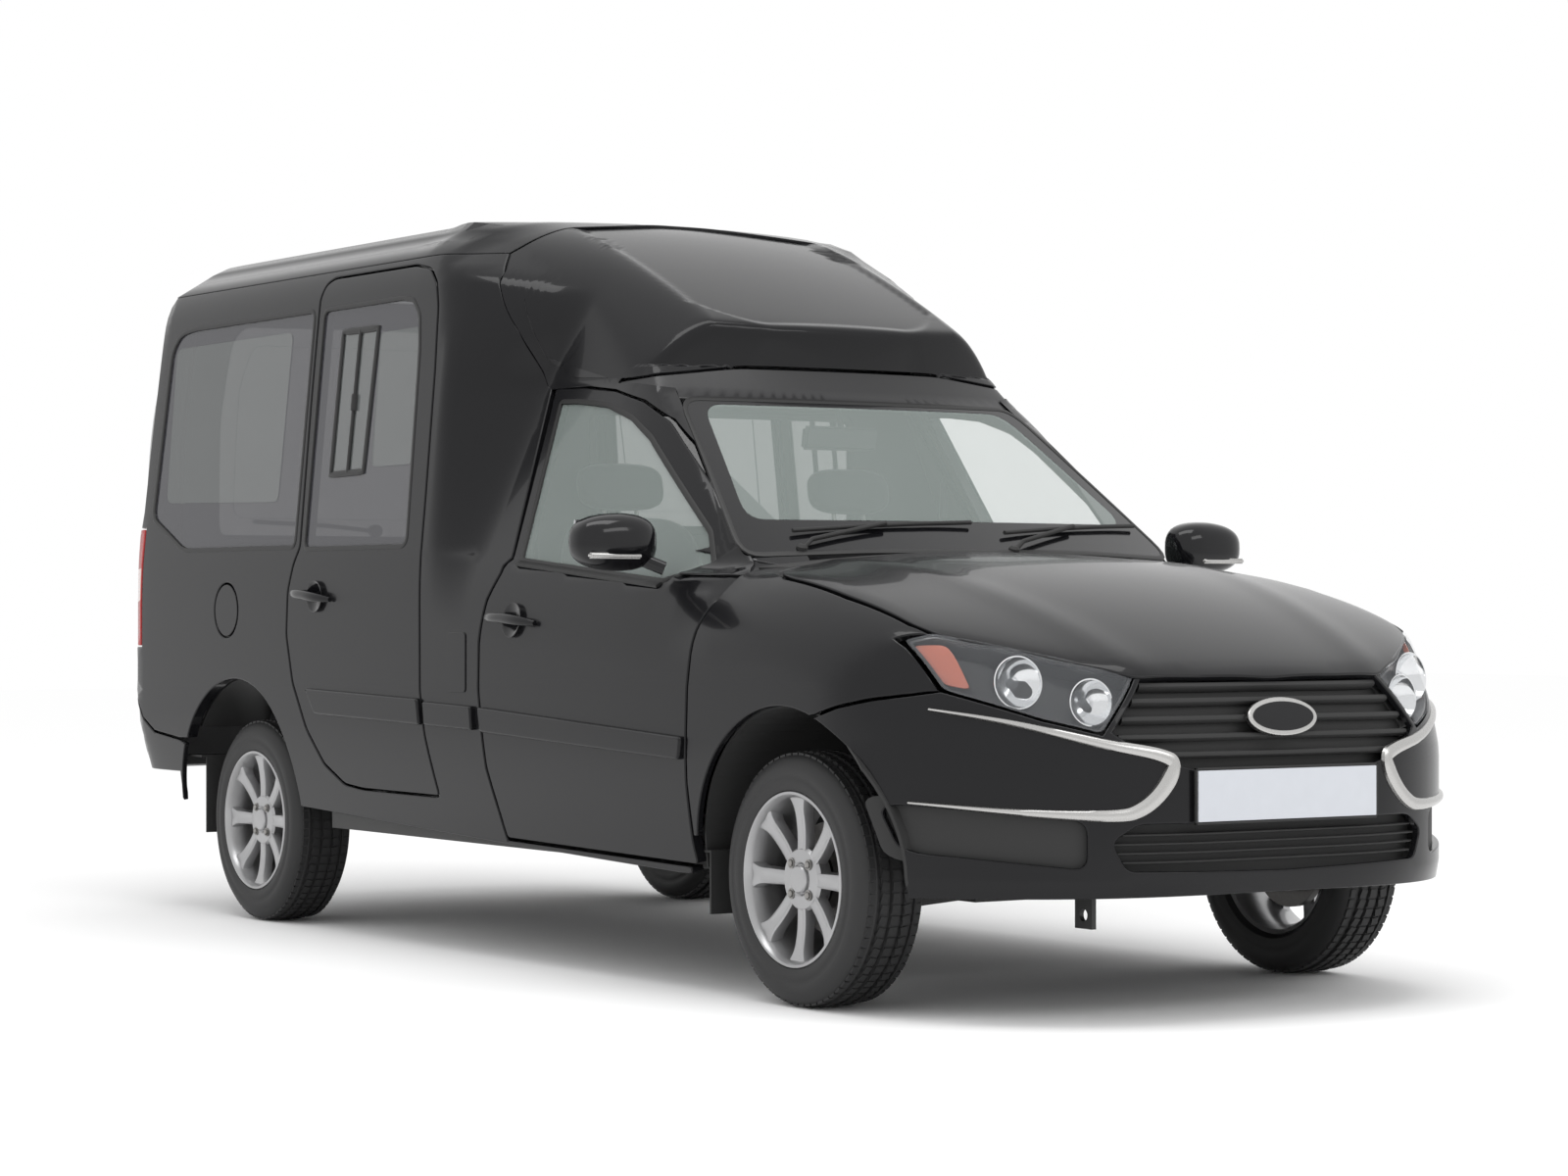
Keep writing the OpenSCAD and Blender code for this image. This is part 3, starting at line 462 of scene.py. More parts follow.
def curve(points, steps=6):
    """Open smooth path through given points."""
    p = np.array(points, float)
    p = np.vstack([2 * p[0] - p[1], p, 2 * p[-1] - p[-2]])
    out = []
    for i in range(1, len(p) - 2):
        for k in range(steps):
            t = k / steps
            out.append(0.5 * (2 * p[i] + (p[i + 1] - p[i - 1]) * t
                              + (2 * p[i - 1] - 5 * p[i] + 4 * p[i + 1] - p[i + 2]) * t ** 2
                              + (3 * p[i] - p[i - 1] - 3 * p[i + 1] + p[i + 2]) * t ** 3))
    out.append(p[-2])
    return np.array(out)


def arc(centre, r, a0, a1, steps=24):
    a = np.radians(np.linspace(a0, a1, steps + 1))
    return np.stack([centre[0] + r * np.cos(a), centre[1] + r * np.sin(a)], 1)


def split_edges(points, step):
    out = []
    for i in range(len(points)):
        a, b = points[i], points[(i + 1) % len(points)]
        n = max(1, int(math.ceil(np.linalg.norm(b - a) / step)))
        out.extend(a + (b - a) * k / n for k in range(n))
    return np.array(out)


def turned_left(points):
    """The outline, counter-clockwise."""
    x, y = points[:, 0], points[:, 1]
    area = np.sum(x * np.roll(y, -1) - np.roll(x, -1) * y)
    return points if area > 0 else points[::-1]


def edge_normals(points):
    """Inward direction at each point of a counter-clockwise outline."""
    a = points - np.roll(points, 1, 0)
    b = np.roll(points, -1, 0) - points
    a /= np.maximum(np.linalg.norm(a, axis=1), 1e-9)[:, None]
    b /= np.maximum(np.linalg.norm(b, axis=1), 1e-9)[:, None]
    t = a + b
    t /= np.maximum(np.linalg.norm(t, axis=1), 1e-6)[:, None]
    n = np.stack([-t[:, 1], t[:, 0]], 1)
    stretch = 1 / np.maximum((n * np.stack([-a[:, 1], a[:, 0]], 1)).sum(1), 0.6)
    return n * stretch[:, None]


def inside(points, loop):
    x, y = points[:, 0:1], points[:, 1:2]
    x0, y0 = loop[:, 0], loop[:, 1]
    x1, y1 = np.roll(x0, -1), np.roll(y0, -1)
    cross = (y0 > y) != (y1 > y)
    with np.errstate(divide="ignore", invalid="ignore"):
        at = x0 + (y - y0) * (x1 - x0) / (y1 - y0)
    return (np.sum(cross & (x < at), 1) % 2) == 1


def fill(loops, cell):
    """Triangles over the first loop less the others, on an even grid. Loop points come first."""
    outer = loops[0]
    lo, hi = outer.min(0), outer.max(0)
    u, v = np.meshgrid(np.arange(lo[0] + cell / 2, hi[0], cell), np.arange(lo[1] + cell / 2, hi[1], cell))
    grid = np.stack([u.ravel(), v.ravel()], 1)
    keep = inside(grid, outer)
    for hole in loops[1:]:
        keep &= ~inside(grid, hole)
    grid = grid[keep]
    rim = np.concatenate(loops)
    far = np.ones(len(grid), bool)
    for start in range(0, len(rim), 64):
        d = grid[:, None] - rim[None, start:start + 64]
        far &= ((d ** 2).sum(2).min(1) > (0.55 * cell) ** 2)
    grid = grid[far]
    edges = []
    base = 0
    for loop in loops:
        n = len(loop)
        edges += [(base + i, base + (i + 1) % n) for i in range(n)]
        base += n
    points = np.concatenate([rim, grid])
    out, _, faces, origin, _, _ = delaunay_2d_cdt([Vector(p) for p in points.tolist()], edges, [], 0,
                                                  1e-7, True)
    uv = np.array([tuple(p) for p in out])
    place = {}
    for j, ids in enumerate(origin):
        for i in ids:
            place[i] = j
    tri = np.array([f for f in faces if len(f) == 3])
    mid = uv[tri].mean(1)
    ok = inside(mid, outer)
    for hole in loops[1:]:
        ok &= ~inside(mid, hole)
    tri = tri[ok]
    a, b, c = uv[tri[:, 0]], uv[tri[:, 1]], uv[tri[:, 2]]
    area = (b[:, 0] - a[:, 0]) * (c[:, 1] - a[:, 1]) - (b[:, 1] - a[:, 1]) * (c[:, 0] - a[:, 0])
    tri = tri[np.abs(area) > 1e-12]
    area = area[np.abs(area) > 1e-12]
    tri[area < 0] = tri[area < 0][:, ::-1]
    rims = []
    base = 0
    for loop in loops:
        rims.append([place[base + i] for i in range(len(loop))])
        base += len(loop)
    return uv, tri, rims


def panel(shape, surface, outline, depth, holes=(), cell=0.03, lip=0.003, mat=0, back=None, seat=0.0,
          bulge=None):
    """A sheet of the surface with rolled edges, an even thickness and a closed back.

    mat is a number, or a function of the faces' (u, v) middles. back is the material of the back;
    the edges take the front's material. bulge(uv) lifts the outside, for creases and recesses.
    """
    loops = [turned_left(split_edges(np.asarray(outline, float), cell * 0.8))]
    loops += [turned_left(split_edges(np.asarray(h, float), cell * 0.8))[::-1] for h in holes]
    inward = [edge_normals(loop) for loop in loops]
    inner = [loop + n * lip for loop, n in zip(loops, inward)]
    uv, tri, rims = fill(inner, cell)
    lift = 0.0 if bulge is None else bulge(uv)
    normal = surface.normal(uv)
    top = surface.point(uv, seat - lift)
    if bulge is not None:
        h = 0.002
        gu = (bulge(uv + [h, 0]) - bulge(uv - [h, 0])) / (2 * h)
        gv = (bulge(uv + [0, h]) - bulge(uv - [0, h])) / (2 * h)
        pu = (surface.raw(uv + [h, 0]) - surface.raw(uv - [h, 0])) / (2 * h)
        pv = (surface.raw(uv + [0, h]) - surface.raw(uv - [0, h])) / (2 * h)
        n = np.cross(pu + normal * gu[:, None], pv + normal * gv[:, None])
        n /= np.linalg.norm(n, axis=1)[:, None]
        normal = n * np.where((n * normal).sum(1) < 0, -1.0, 1.0)[:, None]
    a, b, c = top[tri[:, 0]], top[tri[:, 1]], top[tri[:, 2]]
    flip = (np.cross(b - a, c - a) * normal[tri[:, 0]]).sum() < 0
    faces = tri[:, ::-1] if flip else tri
    mats = mat(uv[tri].mean(1)) if callable(mat) else mat
    back = (mats if np.ndim(mats) == 0 else 0) if back is None else back
    shape.add(top, faces, normal[faces], mats)
    low = surface.point(uv, seat + depth)
    shape.add(low, faces[:, ::-1], -normal[faces[:, ::-1]], back)
    for loop, n2, rim in zip(loops, inward, rims):
        steps = 3
        rings = [top[rim]]
        rim_lift = 0.0 if bulge is None else bulge(uv[rim])
        count = len(loop)
        flat = surface.normal(loop + n2 * lip)
        out = surface.raw(loop - n2 * 0.001) - surface.raw(loop)
        out /= np.maximum(np.linalg.norm(out, axis=1), 1e-9)[:, None]
        normals = [flat]
        for k in range(1, steps + 1):
            a = math.pi / 2 * k / steps
            rings.append(surface.point(loop + n2 * lip * (1 - math.sin(a)),
                                       seat - rim_lift + lip * (1 - math.cos(a))))
            normals.append(flat * math.cos(a) + out * math.sin(a))
        rings.append(surface.point(loop, seat + max(depth - 0.001, lip)))
        normals.append(out)
        rings.append(low[rim])
        normals.append(out)
        verts = np.concatenate(rings)
        strip, corner = [], []
        for k in range(len(rings) - 1):
            for i in range(count):
                j = (i + 1) % count
                quad = [k * count + i, k * count + j, (k + 1) * count + j, (k + 1) * count + i]
                ring_n = np.array([normals[k][i], normals[k][j], normals[k + 1][j], normals[k + 1][i]])
                if not flip:
                    quad, ring_n = quad[::-1], ring_n[::-1]
                strip.append(quad)
                corner.append(ring_n)
        edge_mat = (mats if np.ndim(mats) == 0 else int(np.bincount(np.asarray(mats)).argmax()))
        shape.add(verts, strip, corner, edge_mat)
    return shape


def band(shape, surface, path, width, height, mat=0, closed=False, taper=None, sink=0.003, round_top=True):
    """A low strip laid on a surface along a path, such as a seal, a seam or a moulding."""
    path = np.asarray(path, float)
    nxt = np.roll(path, -1, 0) if closed else np.vstack([path[1:], 2 * path[-1] - path[-2]])
    prv = np.roll(path, 1, 0) if closed else np.vstack([2 * path[0] - path[1], path[:-1]])
    t = nxt - prv
    t /= np.maximum(np.linalg.norm(t, axis=1), 1e-9)[:, None]
    n = np.stack([-t[:, 1], t[:, 0]], 1)
    scale = np.ones(len(path)) if taper is None else np.asarray(taper, float)
    across = [-1, -0.86, -0.5, 0, 0.5, 0.86, 1] if round_top else [-1, -0.94, 0, 0.94, 1]
    rise = [-sink, height * 0.55, height * 0.92, height, height * 0.92, height * 0.55, -sink] if round_top \
        else [-sink, height, height, height, -sink]
    rows = []
    for a, h in zip(across, rise):
        rows.append(surface.point(path + n * (a * width / 2 * scale)[:, None], -h * np.ones(len(path))))
    rows.append(surface.point(path, sink * np.ones(len(path))))
    verts = np.concatenate(rows)
    count, m = len(path), len(rows)
    faces = []
    for r in range(m):
        s = (r + 1) % m
        for i in range(count if closed else count - 1):
            j = (i + 1) % count
            faces.append([r * count + i, r * count + j, s * count + j, s * count + i])
    if not closed:
        faces.append([r * count for r in range(m)])
        faces.append([r * count + count - 1 for r in range(m)][::-1])
    mid = count // 2
    e1 = verts[2 * count + min(mid + 1, count - 1)] - verts[2 * count + mid]
    e2 = verts[3 * count + mid] - verts[2 * count + mid]
    up = surface.normal(path[mid:mid + 1])[0]
    if np.dot(np.cross(e1, e2), up) < 0:
        faces = [f[::-1] for f in faces]
    return shape.add(verts, faces, None, mat)


def box_shape(shape, lo, hi, mat=0, bevel=0.0):
    bm = bmesh.new()
    bmesh.ops.create_cube(bm, size=1.0)
    lo, hi = np.array(lo, float), np.array(hi, float)
    for v in bm.verts:
        v.co = Vector((lo + hi) / 2 + np.array(v.co) * (hi - lo))
    if bevel:
        bmesh.ops.bevel(bm, geom=bm.edges[:], offset=bevel, segments=2, affect="EDGES", profile=0.6)
    return take(shape, bm, mat)


def take(shape, bm, mat=0):
    bm.verts.index_update()
    shape.add([tuple(v.co) for v in bm.verts], [[v.index for v in f.verts] for f in bm.faces], None, mat)
    bm.free()
    return shape


def turn(shape, profile, centre, axis, steps=64, mat=0, start=0.0, sweep=360.0):
    """Turns a profile of (radius, along) points about an axis through centre."""
    axis = np.array(axis, float) / np.linalg.norm(axis)
    helper = np.array([0, 0, 1.0]) if abs(axis[2]) < 0.9 else np.array([1.0, 0, 0])
    e1 = np.cross(axis, helper)
    e1 /= np.linalg.norm(e1)
    e2 = np.cross(axis, e1)
    full = sweep >= 360
    n = steps if full else steps + 1
    ang = np.radians(start + np.linspace(0, sweep, steps + 1))[:n]
    ring = np.cos(ang)[:, None] * e1 + np.sin(ang)[:, None] * e2
    profile = np.asarray(profile, float)
    verts = np.concatenate([np.asarray(centre) + axis * z + ring * r for r, z in profile])
    m = len(profile)
    faces = []
    for k in range(m):
        j = (k + 1) % m
        if profile[k][0] < 1e-6 and profile[j][0] < 1e-6:
            continue
        for i in range(n if full else n - 1):
            i2 = (i + 1) % n
            q = [k * n + i, k * n + i2, j * n + i2, j * n + i]
            faces.append(q)
    area = sum(profile[k][0] * profile[(k + 1) % m][1] - profile[(k + 1) % m][0] * profile[k][1]
               for k in range(m))
    if area > 0:
        faces = [f[::-1] for f in faces]
    piece = Shape().add(verts, faces, None, mat)
    if np.min(profile[:, 0]) < 1e-6 or not full:
        piece = merged(piece, mat)
    return shape.join(piece)


def merged(piece, mat=0):
    bm = bmesh.new()
    vs = [bm.verts.new(p) for p in np.concatenate(piece.v)]
    for f in piece.f:
        try:
            bm.faces.new([vs[i] for i in f])
        except ValueError:
            pass
    bmesh.ops.remove_doubles(bm, verts=bm.verts, dist=1e-6)
    bmesh.ops.dissolve_degenerate(bm, edges=bm.edges, dist=1e-7)
    bmesh.ops.holes_fill(bm, edges=[e for e in bm.edges if e.is_boundary], sides=0)
    bmesh.ops.recalc_face_normals(bm, faces=bm.faces)
    return take(Shape(), bm, mat)


def tube(shape, path, r, sides=12, mat=0):
    """A round bar along points in space, with closed ends."""
    path = np.asarray(path, float)
    t = np.gradient(path, axis=0)
    t /= np.linalg.norm(t, axis=1)[:, None]
    up = np.array([0, 0, 1.0]) if abs(t[0][2]) < 0.9 else np.array([1.0, 0, 0])
    rings = []
    for p, d in zip(path, t):
        a = np.cross(d, up)
        a /= np.linalg.norm(a)
        b = np.cross(a, d)
        up = b
        ang = np.linspace(0, 2 * math.pi, sides, endpoint=False)
        rings.append(p + r * (np.cos(ang)[:, None] * a + np.sin(ang)[:, None] * b))
    verts = np.concatenate(rings)
    faces = []
    for k in range(len(path) - 1):
        for i in range(sides):
            j = (i + 1) % sides
            faces.append([k * sides + i, (k + 1) * sides + i, (k + 1) * sides + j, k * sides + j])
    faces.append(list(range(sides)))
    faces.append([(len(path) - 1) * sides + i for i in range(sides)][::-1])
    bm = bmesh.new()
    vs = [bm.verts.new(p) for p in verts]
    for f in faces:
        bm.faces.new([vs[i] for i in f])
    bmesh.ops.recalc_face_normals(bm, faces=bm.faces)
    return take(shape, bm, mat)


# ---------------------------------------------------------------- materials


def material(name):
    """Gives back the material of this name, and whether it is new."""
    old = bpy.data.materials.get(name)
    if old:
        return old, False
    m = bpy.data.materials.new(name)
    m.use_nodes = True
    return m, True


def shader(m):
    return m.node_tree.nodes["Principled BSDF"]


def noise(m, scale, detail=3.0, stretch=(1, 1, 1)):
    nodes, links = m.node_tree.nodes, m.node_tree.links
    at = nodes.new("ShaderNodeTexCoord")
    mapping = nodes.new("ShaderNodeMapping")
    mapping.inputs["Scale"].default_value = stretch
    tex = nodes.new("ShaderNodeTexNoise")
    tex.inputs["Scale"].default_value = scale
    tex.inputs["Detail"].default_value = detail
    links.new(at.outputs["Object"], mapping.inputs["Vector"])
    links.new(mapping.outputs["Vector"], tex.inputs["Vector"])
    return tex.outputs["Fac"]


def between(m, value, low, high):
    node = m.node_tree.nodes.new("ShaderNodeMapRange")
    node.inputs["To Min"].default_value = low
    node.inputs["To Max"].default_value = high
    m.node_tree.links.new(value, node.inputs["Value"])
    return node.outputs["Result"]


def blend_colours(m, value, a, b):
    node = m.node_tree.nodes.new("ShaderNodeMix")
    node.data_type = "RGBA"
    node.inputs["A"].default_value = (*a, 1)
    node.inputs["B"].default_value = (*b, 1)
    m.node_tree.links.new(value, node.inputs["Factor"])
    return node.outputs["Result"]


def bump(m, value, strength, distance=0.001):
    node = m.node_tree.nodes.new("ShaderNodeBump")
    node.inputs["Strength"].default_value = strength
    node.inputs["Distance"].default_value = distance
    m.node_tree.links.new(value, node.inputs["Height"])
    m.node_tree.links.new(node.outputs["Normal"], shader(m).inputs["Normal"])


def finish(name, colour, rough, metal=0.0, grain=60.0, spread=0.15, rough_spread=0.05, grain_bump=0.0,
           coat=0.0, detail=3.0, stretch=(1, 1, 1), specular=0.5):
    """A surface whose colour and roughness vary finely on a noise."""
    m, new = material(name)
    if not new:
        return m
    s = shader(m)
    s.inputs["Metallic"].default_value = metal
    s.inputs["Coat Weight"].default_value = coat
    s.inputs["Coat Roughness"].default_value = 0.03
    s.inputs["Specular IOR Level"].default_value = specular
    value = noise(m, grain, detail, stretch)
    links = m.node_tree.links
    dark = tuple(c * (1 - spread) for c in colour)
    light = tuple(min(1.0, c * (1 + spread)) for c in colour)
    links.new(blend_colours(m, value, dark, light), s.inputs["Base Color"])
    links.new(between(m, value, max(0.02, rough - rough_spread), rough + rough_spread), s.inputs["Roughness"])
    if grain_bump:
        bump(m, value, grain_bump, 0.0006)
    return m


def colours():
    return bpy.context.scene.hearse_colours


def paint():
    return finish("body_paint", tuple(colours().paint), 0.24, 0.0, 900.0, 0.22, 0.03, coat=0.3, detail=2.0,
                  specular=0.1)


def black_gloss():
    return finish("black_gloss", (0.006, 0.006, 0.007), 0.14, 0.0, 40.0, 0.2, 0.03, coat=0.3, specular=0.2)


def black_plastic():
    return finish("black_plastic", tuple(colours().plastic), 0.42, 0.0, 700.0, 0.2, 0.08, 0.25)


def dark_satin():
    return finish("dark_satin", (0.013, 0.013, 0.014), 0.33, 0.0, 500.0, 0.2, 0.06, 0.08)


def rubber_seal():
    return finish("rubber_seal", (0.006, 0.006, 0.006), 0.5, 0.0, 200.0, 0.25, 0.06)


def lining():
    return finish("lining", (0.09, 0.09, 0.092), 0.85, 0.0, 1200.0, 0.25, 0.05, 0.3)


def chrome():
    return finish("satin_chrome", (0.48, 0.475, 0.465), 0.28, 1.0, 300.0, 0.06, 0.05)


def reflector():
    return finish("lamp_reflector", (0.78, 0.79, 0.8), 0.08, 1.0, 50.0, 0.04, 0.03)


def lamp_dark():
    return finish("lamp_bezel", (0.012, 0.012, 0.013), 0.3, 0.0, 300.0, 0.2, 0.05)


def alloy():
    return finish("silver_alloy", tuple(colours().alloy), 0.3, 0.85, 900.0, 0.08, 0.05, coat=0.3)


def rotor():
    return finish("brake_iron", (0.16, 0.155, 0.15), 0.42, 0.9, 260.0, 0.25, 0.1)


def tyre_rubber():
    return finish("tyre_rubber", (0.014, 0.014, 0.0145), 0.62, 0.0, 350.0, 0.3, 0.1, 0.15)


def underbody():
    return finish("underbody", (0.018, 0.018, 0.018), 0.6, 0.0, 120.0, 0.35, 0.12, 0.2)


def cast():
    return finish("cast_metal", (0.13, 0.13, 0.13), 0.5, 0.7, 150.0, 0.3, 0.12, 0.2)


def steel():
    return finish("exhaust_steel", (0.26, 0.25, 0.24), 0.4, 0.9, 90.0, 0.25, 0.12)


def deck_metal():
    return finish("deck_metal", (0.52, 0.53, 0.54), 0.32, 0.95, 60.0, 0.12, 0.08, stretch=(0.2, 6, 6))


def trim_dark():
    return finish("cabin_plastic", (0.026, 0.026, 0.028), 0.55, 0.0, 900.0, 0.2, 0.08, 0.3)


def plate_face():
    return finish("plate_face", (0.56, 0.58, 0.62), 0.35, 0.0, 30.0, 0.03, 0.05)


def red_lens():
    return finish("red_lens", (0.3, 0.006, 0.008), 0.12, 0.0, 400.0, 0.15, 0.04, coat=1.0)


def amber_lens():
    return finish("amber_lens", (0.42, 0.09, 0.04), 0.15, 0.0, 400.0, 0.15, 0.04, coat=1.0)


def cloth():
    m, new = material("seat_cloth")
    if not new:
        return m
    s = shader(m)
    s.inputs["Roughness"].default_value = 0.9
    s.inputs["Sheen Weight"].default_value = 0.3
    value = noise(m, 1500.0, 2.0)
    m.node_tree.links.new(blend_colours(m, value, (0.02, 0.02, 0.022), (0.05, 0.05, 0.054)),
                          s.inputs["Base Color"])
    bump(m, value, 0.4, 0.0006)
    return m


def glass(name, colour, amount, rough=0.02):
    """Thin glass: mostly see-through, tinted, with clear reflections."""
    m, new = material(name)
    if not new:
        return m
    s = shader(m)
    s.inputs["Base Color"].default_value = (*colour, 1)
    s.inputs["Roughness"].default_value = rough
    s.inputs["IOR"].default_value = 1.5
    value = noise(m, 6.0, 1.0)
    m.node_tree.links.new(between(m, value, amount - 0.01, amount + 0.01), s.inputs["Alpha"])
    m.node_tree.links.new(blend_colours(m, value, tuple(c * 0.96 for c in colour), colour),
                          s.inputs["Base Color"])
    m.surface_render_method = "BLENDED"
    return m


def clear_glass():
    return glass("clear_glass", (0.03, 0.042, 0.038), 0.3)


def tinted_glass():
    return glass("tinted_glass", tuple(colours().tint), 0.93)


def half_tint():
    return glass("half_tint", (0.11, 0.118, 0.118), 0.8)


def lamp_glass():
    return glass("lamp_glass", (0.5, 0.52, 0.55), 0.12)


def inner_glass():
    """Inner face of a pane: it adds no second reflection."""
    m = glass("inner_glass", (0.02, 0.022, 0.021), 0.03)
    shader(m).inputs["IOR"].default_value = 1.0
    shader(m).inputs["Specular IOR Level"].default_value = 0.0
    return m


MATERIALS = {f.__name__: f for f in (
    paint, black_gloss, black_plastic, dark_satin, rubber_seal, lining, chrome, reflector, lamp_dark, alloy,
    rotor, tyre_rubber, underbody, cast, steel, deck_metal, trim_dark, plate_face, red_lens, amber_lens,
    cloth, clear_glass, tinted_glass, half_tint, lamp_glass, inner_glass)}


# ---------------------------------------------------------------- sizes and colours

class HearseSizes(bpy.types.PropertyGroup):
    """Sizes of what is seen but isn't in the CAD."""
    wall: FloatProperty(name="Wall", description="Depth of the load body's panels", default=0.034,
                        min=0.02, max=0.04, unit="LENGTH")
    sheet: FloatProperty(name="Sheet", description="Depth of wings and bumpers", default=0.016,
                         min=0.006, max=0.024, unit="LENGTH")
    lip: FloatProperty(name="Lip", description="Radius of a panel's rolled edge", default=0.004,
                       min=0.001, max=0.008, unit="LENGTH")
    seal: FloatProperty(name="Seal", description="Width of a window seal", default=0.014,
                        min=0.006, max=0.02, unit="LENGTH")
    tread: FloatProperty(name="Tread", description="Depth of the tyre tread", default=0.007,
                         min=0.003, max=0.01, unit="LENGTH")
    lugs: IntProperty(name="Tread blocks", description="Tread blocks round one row", default=70,
                      min=30, max=110)
    cell: FloatProperty(name="Cell", description="Grid of the panel meshes", default=0.03,
                        min=0.015, max=0.08, unit="LENGTH")


class HearseColours(bpy.types.PropertyGroup):
    """Colours that a user is likely to change."""
    paint: FloatVectorProperty(name="Paint", description="Body paint", default=(0.008, 0.008, 0.009),
                               subtype="COLOR", size=3, min=0, max=1)
    plastic: FloatVectorProperty(name="Plastic", description="Unpainted trim",
                                 default=(0.014, 0.014, 0.0145), subtype="COLOR", size=3, min=0, max=1)
    alloy: FloatVectorProperty(name="Wheels", description="Wheel finish", default=(0.38, 0.38, 0.385),
                               subtype="COLOR", size=3, min=0, max=1)
    tint: FloatVectorProperty(name="Tint", description="Dark side glass", default=(0.012, 0.013, 0.014),
                              subtype="COLOR", size=3, min=0, max=1)


def sizes():
    return bpy.context.scene.hearse_sizes


# ---------------------------------------------------------------- outlines, in metres

FRONT_DOOR = [(0.164, 0.322), (1.071, 0.306), (1.0585, 0.359), (1.052, 0.500), (1.062, 0.722),
              (1.084, 0.858), (1.106, 0.930), (1.112, 0.985), (1.010, 1.058), (0.905, 1.132), (0.562, 1.378),
              (0.440, 1.432), (0.300, 1.466), (0.150, 1.482), (0.004, 1.485), (0.032, 1.400),
              (0.128, 1.040), (0.122, 1.000), (0.084, 0.930), (0.060, 0.820), (0.056, 0.700),
              (0.090, 0.500), (0.136, 0.395)]
FRONT_WINDOW = [(0.172, 1.032), (0.862, 0.974), (0.930, 1.010), (0.866, 1.094), (0.526, 1.339),
                (0.425, 1.392), (0.294, 1.430), (0.145, 1.446), (0.056, 1.449)]
SIDE_DOOR = [(-0.184, 0.415), (-0.244, 0.573), (-0.270, 0.690), (-0.272, 0.920), (-0.276, 1.206),
             (-0.286, 1.540), (-0.300, 1.715), (-0.322, 1.780), (-0.372, 1.820), (-0.463, 1.836),
             (-0.950, 1.836), (-0.990, 1.822), (-1.008, 1.785), (-1.006, 1.500), (-0.995, 1.080),
             (-1.030, 1.030), (-1.058, 0.957), (-1.066, 0.833), (-1.027, 0.701), (-0.939, 0.571),
             (-0.841, 0.478), (-0.726, 0.426), (-0.620, 0.417)]
SIDE_WINDOW = [(-0.358, 1.090), (-0.380, 1.074), (-0.960, 1.074), (-0.972, 1.090), (-0.978, 1.735),
               (-0.962, 1.750), (-0.500, 1.752), (-0.440, 1.742), (-0.398, 1.700), (-0.380, 1.600)]
QUARTER_WINDOW = [(-1.030, 1.080), (-1.775, 1.080), (-1.945, 1.180), (-1.937, 1.690),
                  (-1.900, 1.740), (-1.830, 1.750), (-1.036, 1.752)]
BONNET_HALF = [(1.117, 0), (1.128, 0.260), (1.160, 0.470), (1.195, 0.600), (1.238, 0.700),
               (1.300, 0.720), (1.560, 0.724), (1.780, 0.712), (1.850, 0.692), (1.905, 0.650),
               (2.040, 0.500), (2.128, 0.355), (2.150, 0.200), (2.162, 0)]
LAMP = [(0.352, 0.765), (0.631, 0.842), (0.700, 0.858), (0.752, 0.842), (0.714, 0.729),
        (0.568, 0.667), (0.461, 0.636)]
GRILLE_HALF = [(0, 0.762), (0.335, 0.762), (0.440, 0.640), (0.370, 0.586), (0.262, 0.558), (0, 0.556)]
INTAKE_HALF = [(0, 0.440), (0.395, 0.440), (0.452, 0.402), (0.420, 0.338), (0, 0.330)]
TAIL_HALF = [(0, 0.700), (0.690, 0.700), (0.700, 0.900), (0.690, 1.400), (0.664, 1.780), (0.640, 1.850),
             (0.590, 1.880), (0.570, 1.886), (0, 1.886)]
TAIL_GLASS_HALF = [(0, 1.130), (0.560, 1.130), (0.560, 1.500), (0.536, 1.740), (0.500, 1.790), (0, 1.800)]
SCREEN_OUTLINE = [(-0.660, 1.036), (-0.33, 1.048), (0.33, 1.048), (0.660, 1.036), (0.520, 1.440),
                  (-0.520, 1.440)]
FUEL = (-1.467, 0.902, 0.075)


def mirrored_half(half):
    return list(half) + [(-p[0], *p[1:]) for p in reversed(half) if p[0] != 0]


def mirrored_top(half):
    return list(half) + [(p[0], -p[1]) for p in reversed(half) if p[1] != 0]


def grown(points, amount):
    """The outline moved outwards by amount."""
    p = turned_left(np.asarray(points, float))
    return p - edge_normals(p) * amount


def curved_arch(arch, a0, a1, grow=0.0, steps=36):
    return arc((arch[0], arch[1]), arch[2] + grow, a0, a1, steps)


# ---------------------------------------------------------------- roof and cap as fans of rays

FAN_X, FAN_Z, FAN_R, FAN_V = 0.30, 1.485, 0.35, 0.6
SEAM_X = [-2.4, -0.215, -0.150, -0.075, -0.030, FAN_X]
SEAM_Z = [1.86, 1.86, 1.80, 1.64, FAN_Z, FAN_Z]


def fan_rays(uv):
    """u is x, then the tilt of the plane ahead of FAN_X; v is the angle in that plane."""
    x = np.minimum(uv[:, 0], FAN_X)
    tilt = above(uv[:, 0] - FAN_X) / FAN_R
    a = uv[:, 1] / FAN_V
    return columns(x, 0.0, np.interp(x, SEAM_X, SEAM_Z)), columns(
        np.sin(a) * np.sin(tilt), np.cos(a), np.sin(a) * np.cos(tilt))


def fan_point(uv):
    origin, way = fan_rays(uv)
    return reach_out(upper_field, origin, way, 0.02, 1.4)


def fan_uv(points):
    p = np.asarray(points, float)
    ahead = p[:, 0] > FAN_X
    dx = np.where(ahead, p[:, 0] - FAN_X, 0.0)
    dz = p[:, 2] - np.interp(p[:, 0], SEAM_X, SEAM_Z)
    up = np.hypot(dx, dz)
    a = np.arctan2(np.where(ahead, up, dz), p[:, 1])
    tilt = np.arctan2(dx, dz)
    return np.stack([np.where(ahead, FAN_X + FAN_R * tilt, p[:, 0]), a * FAN_V], 1)


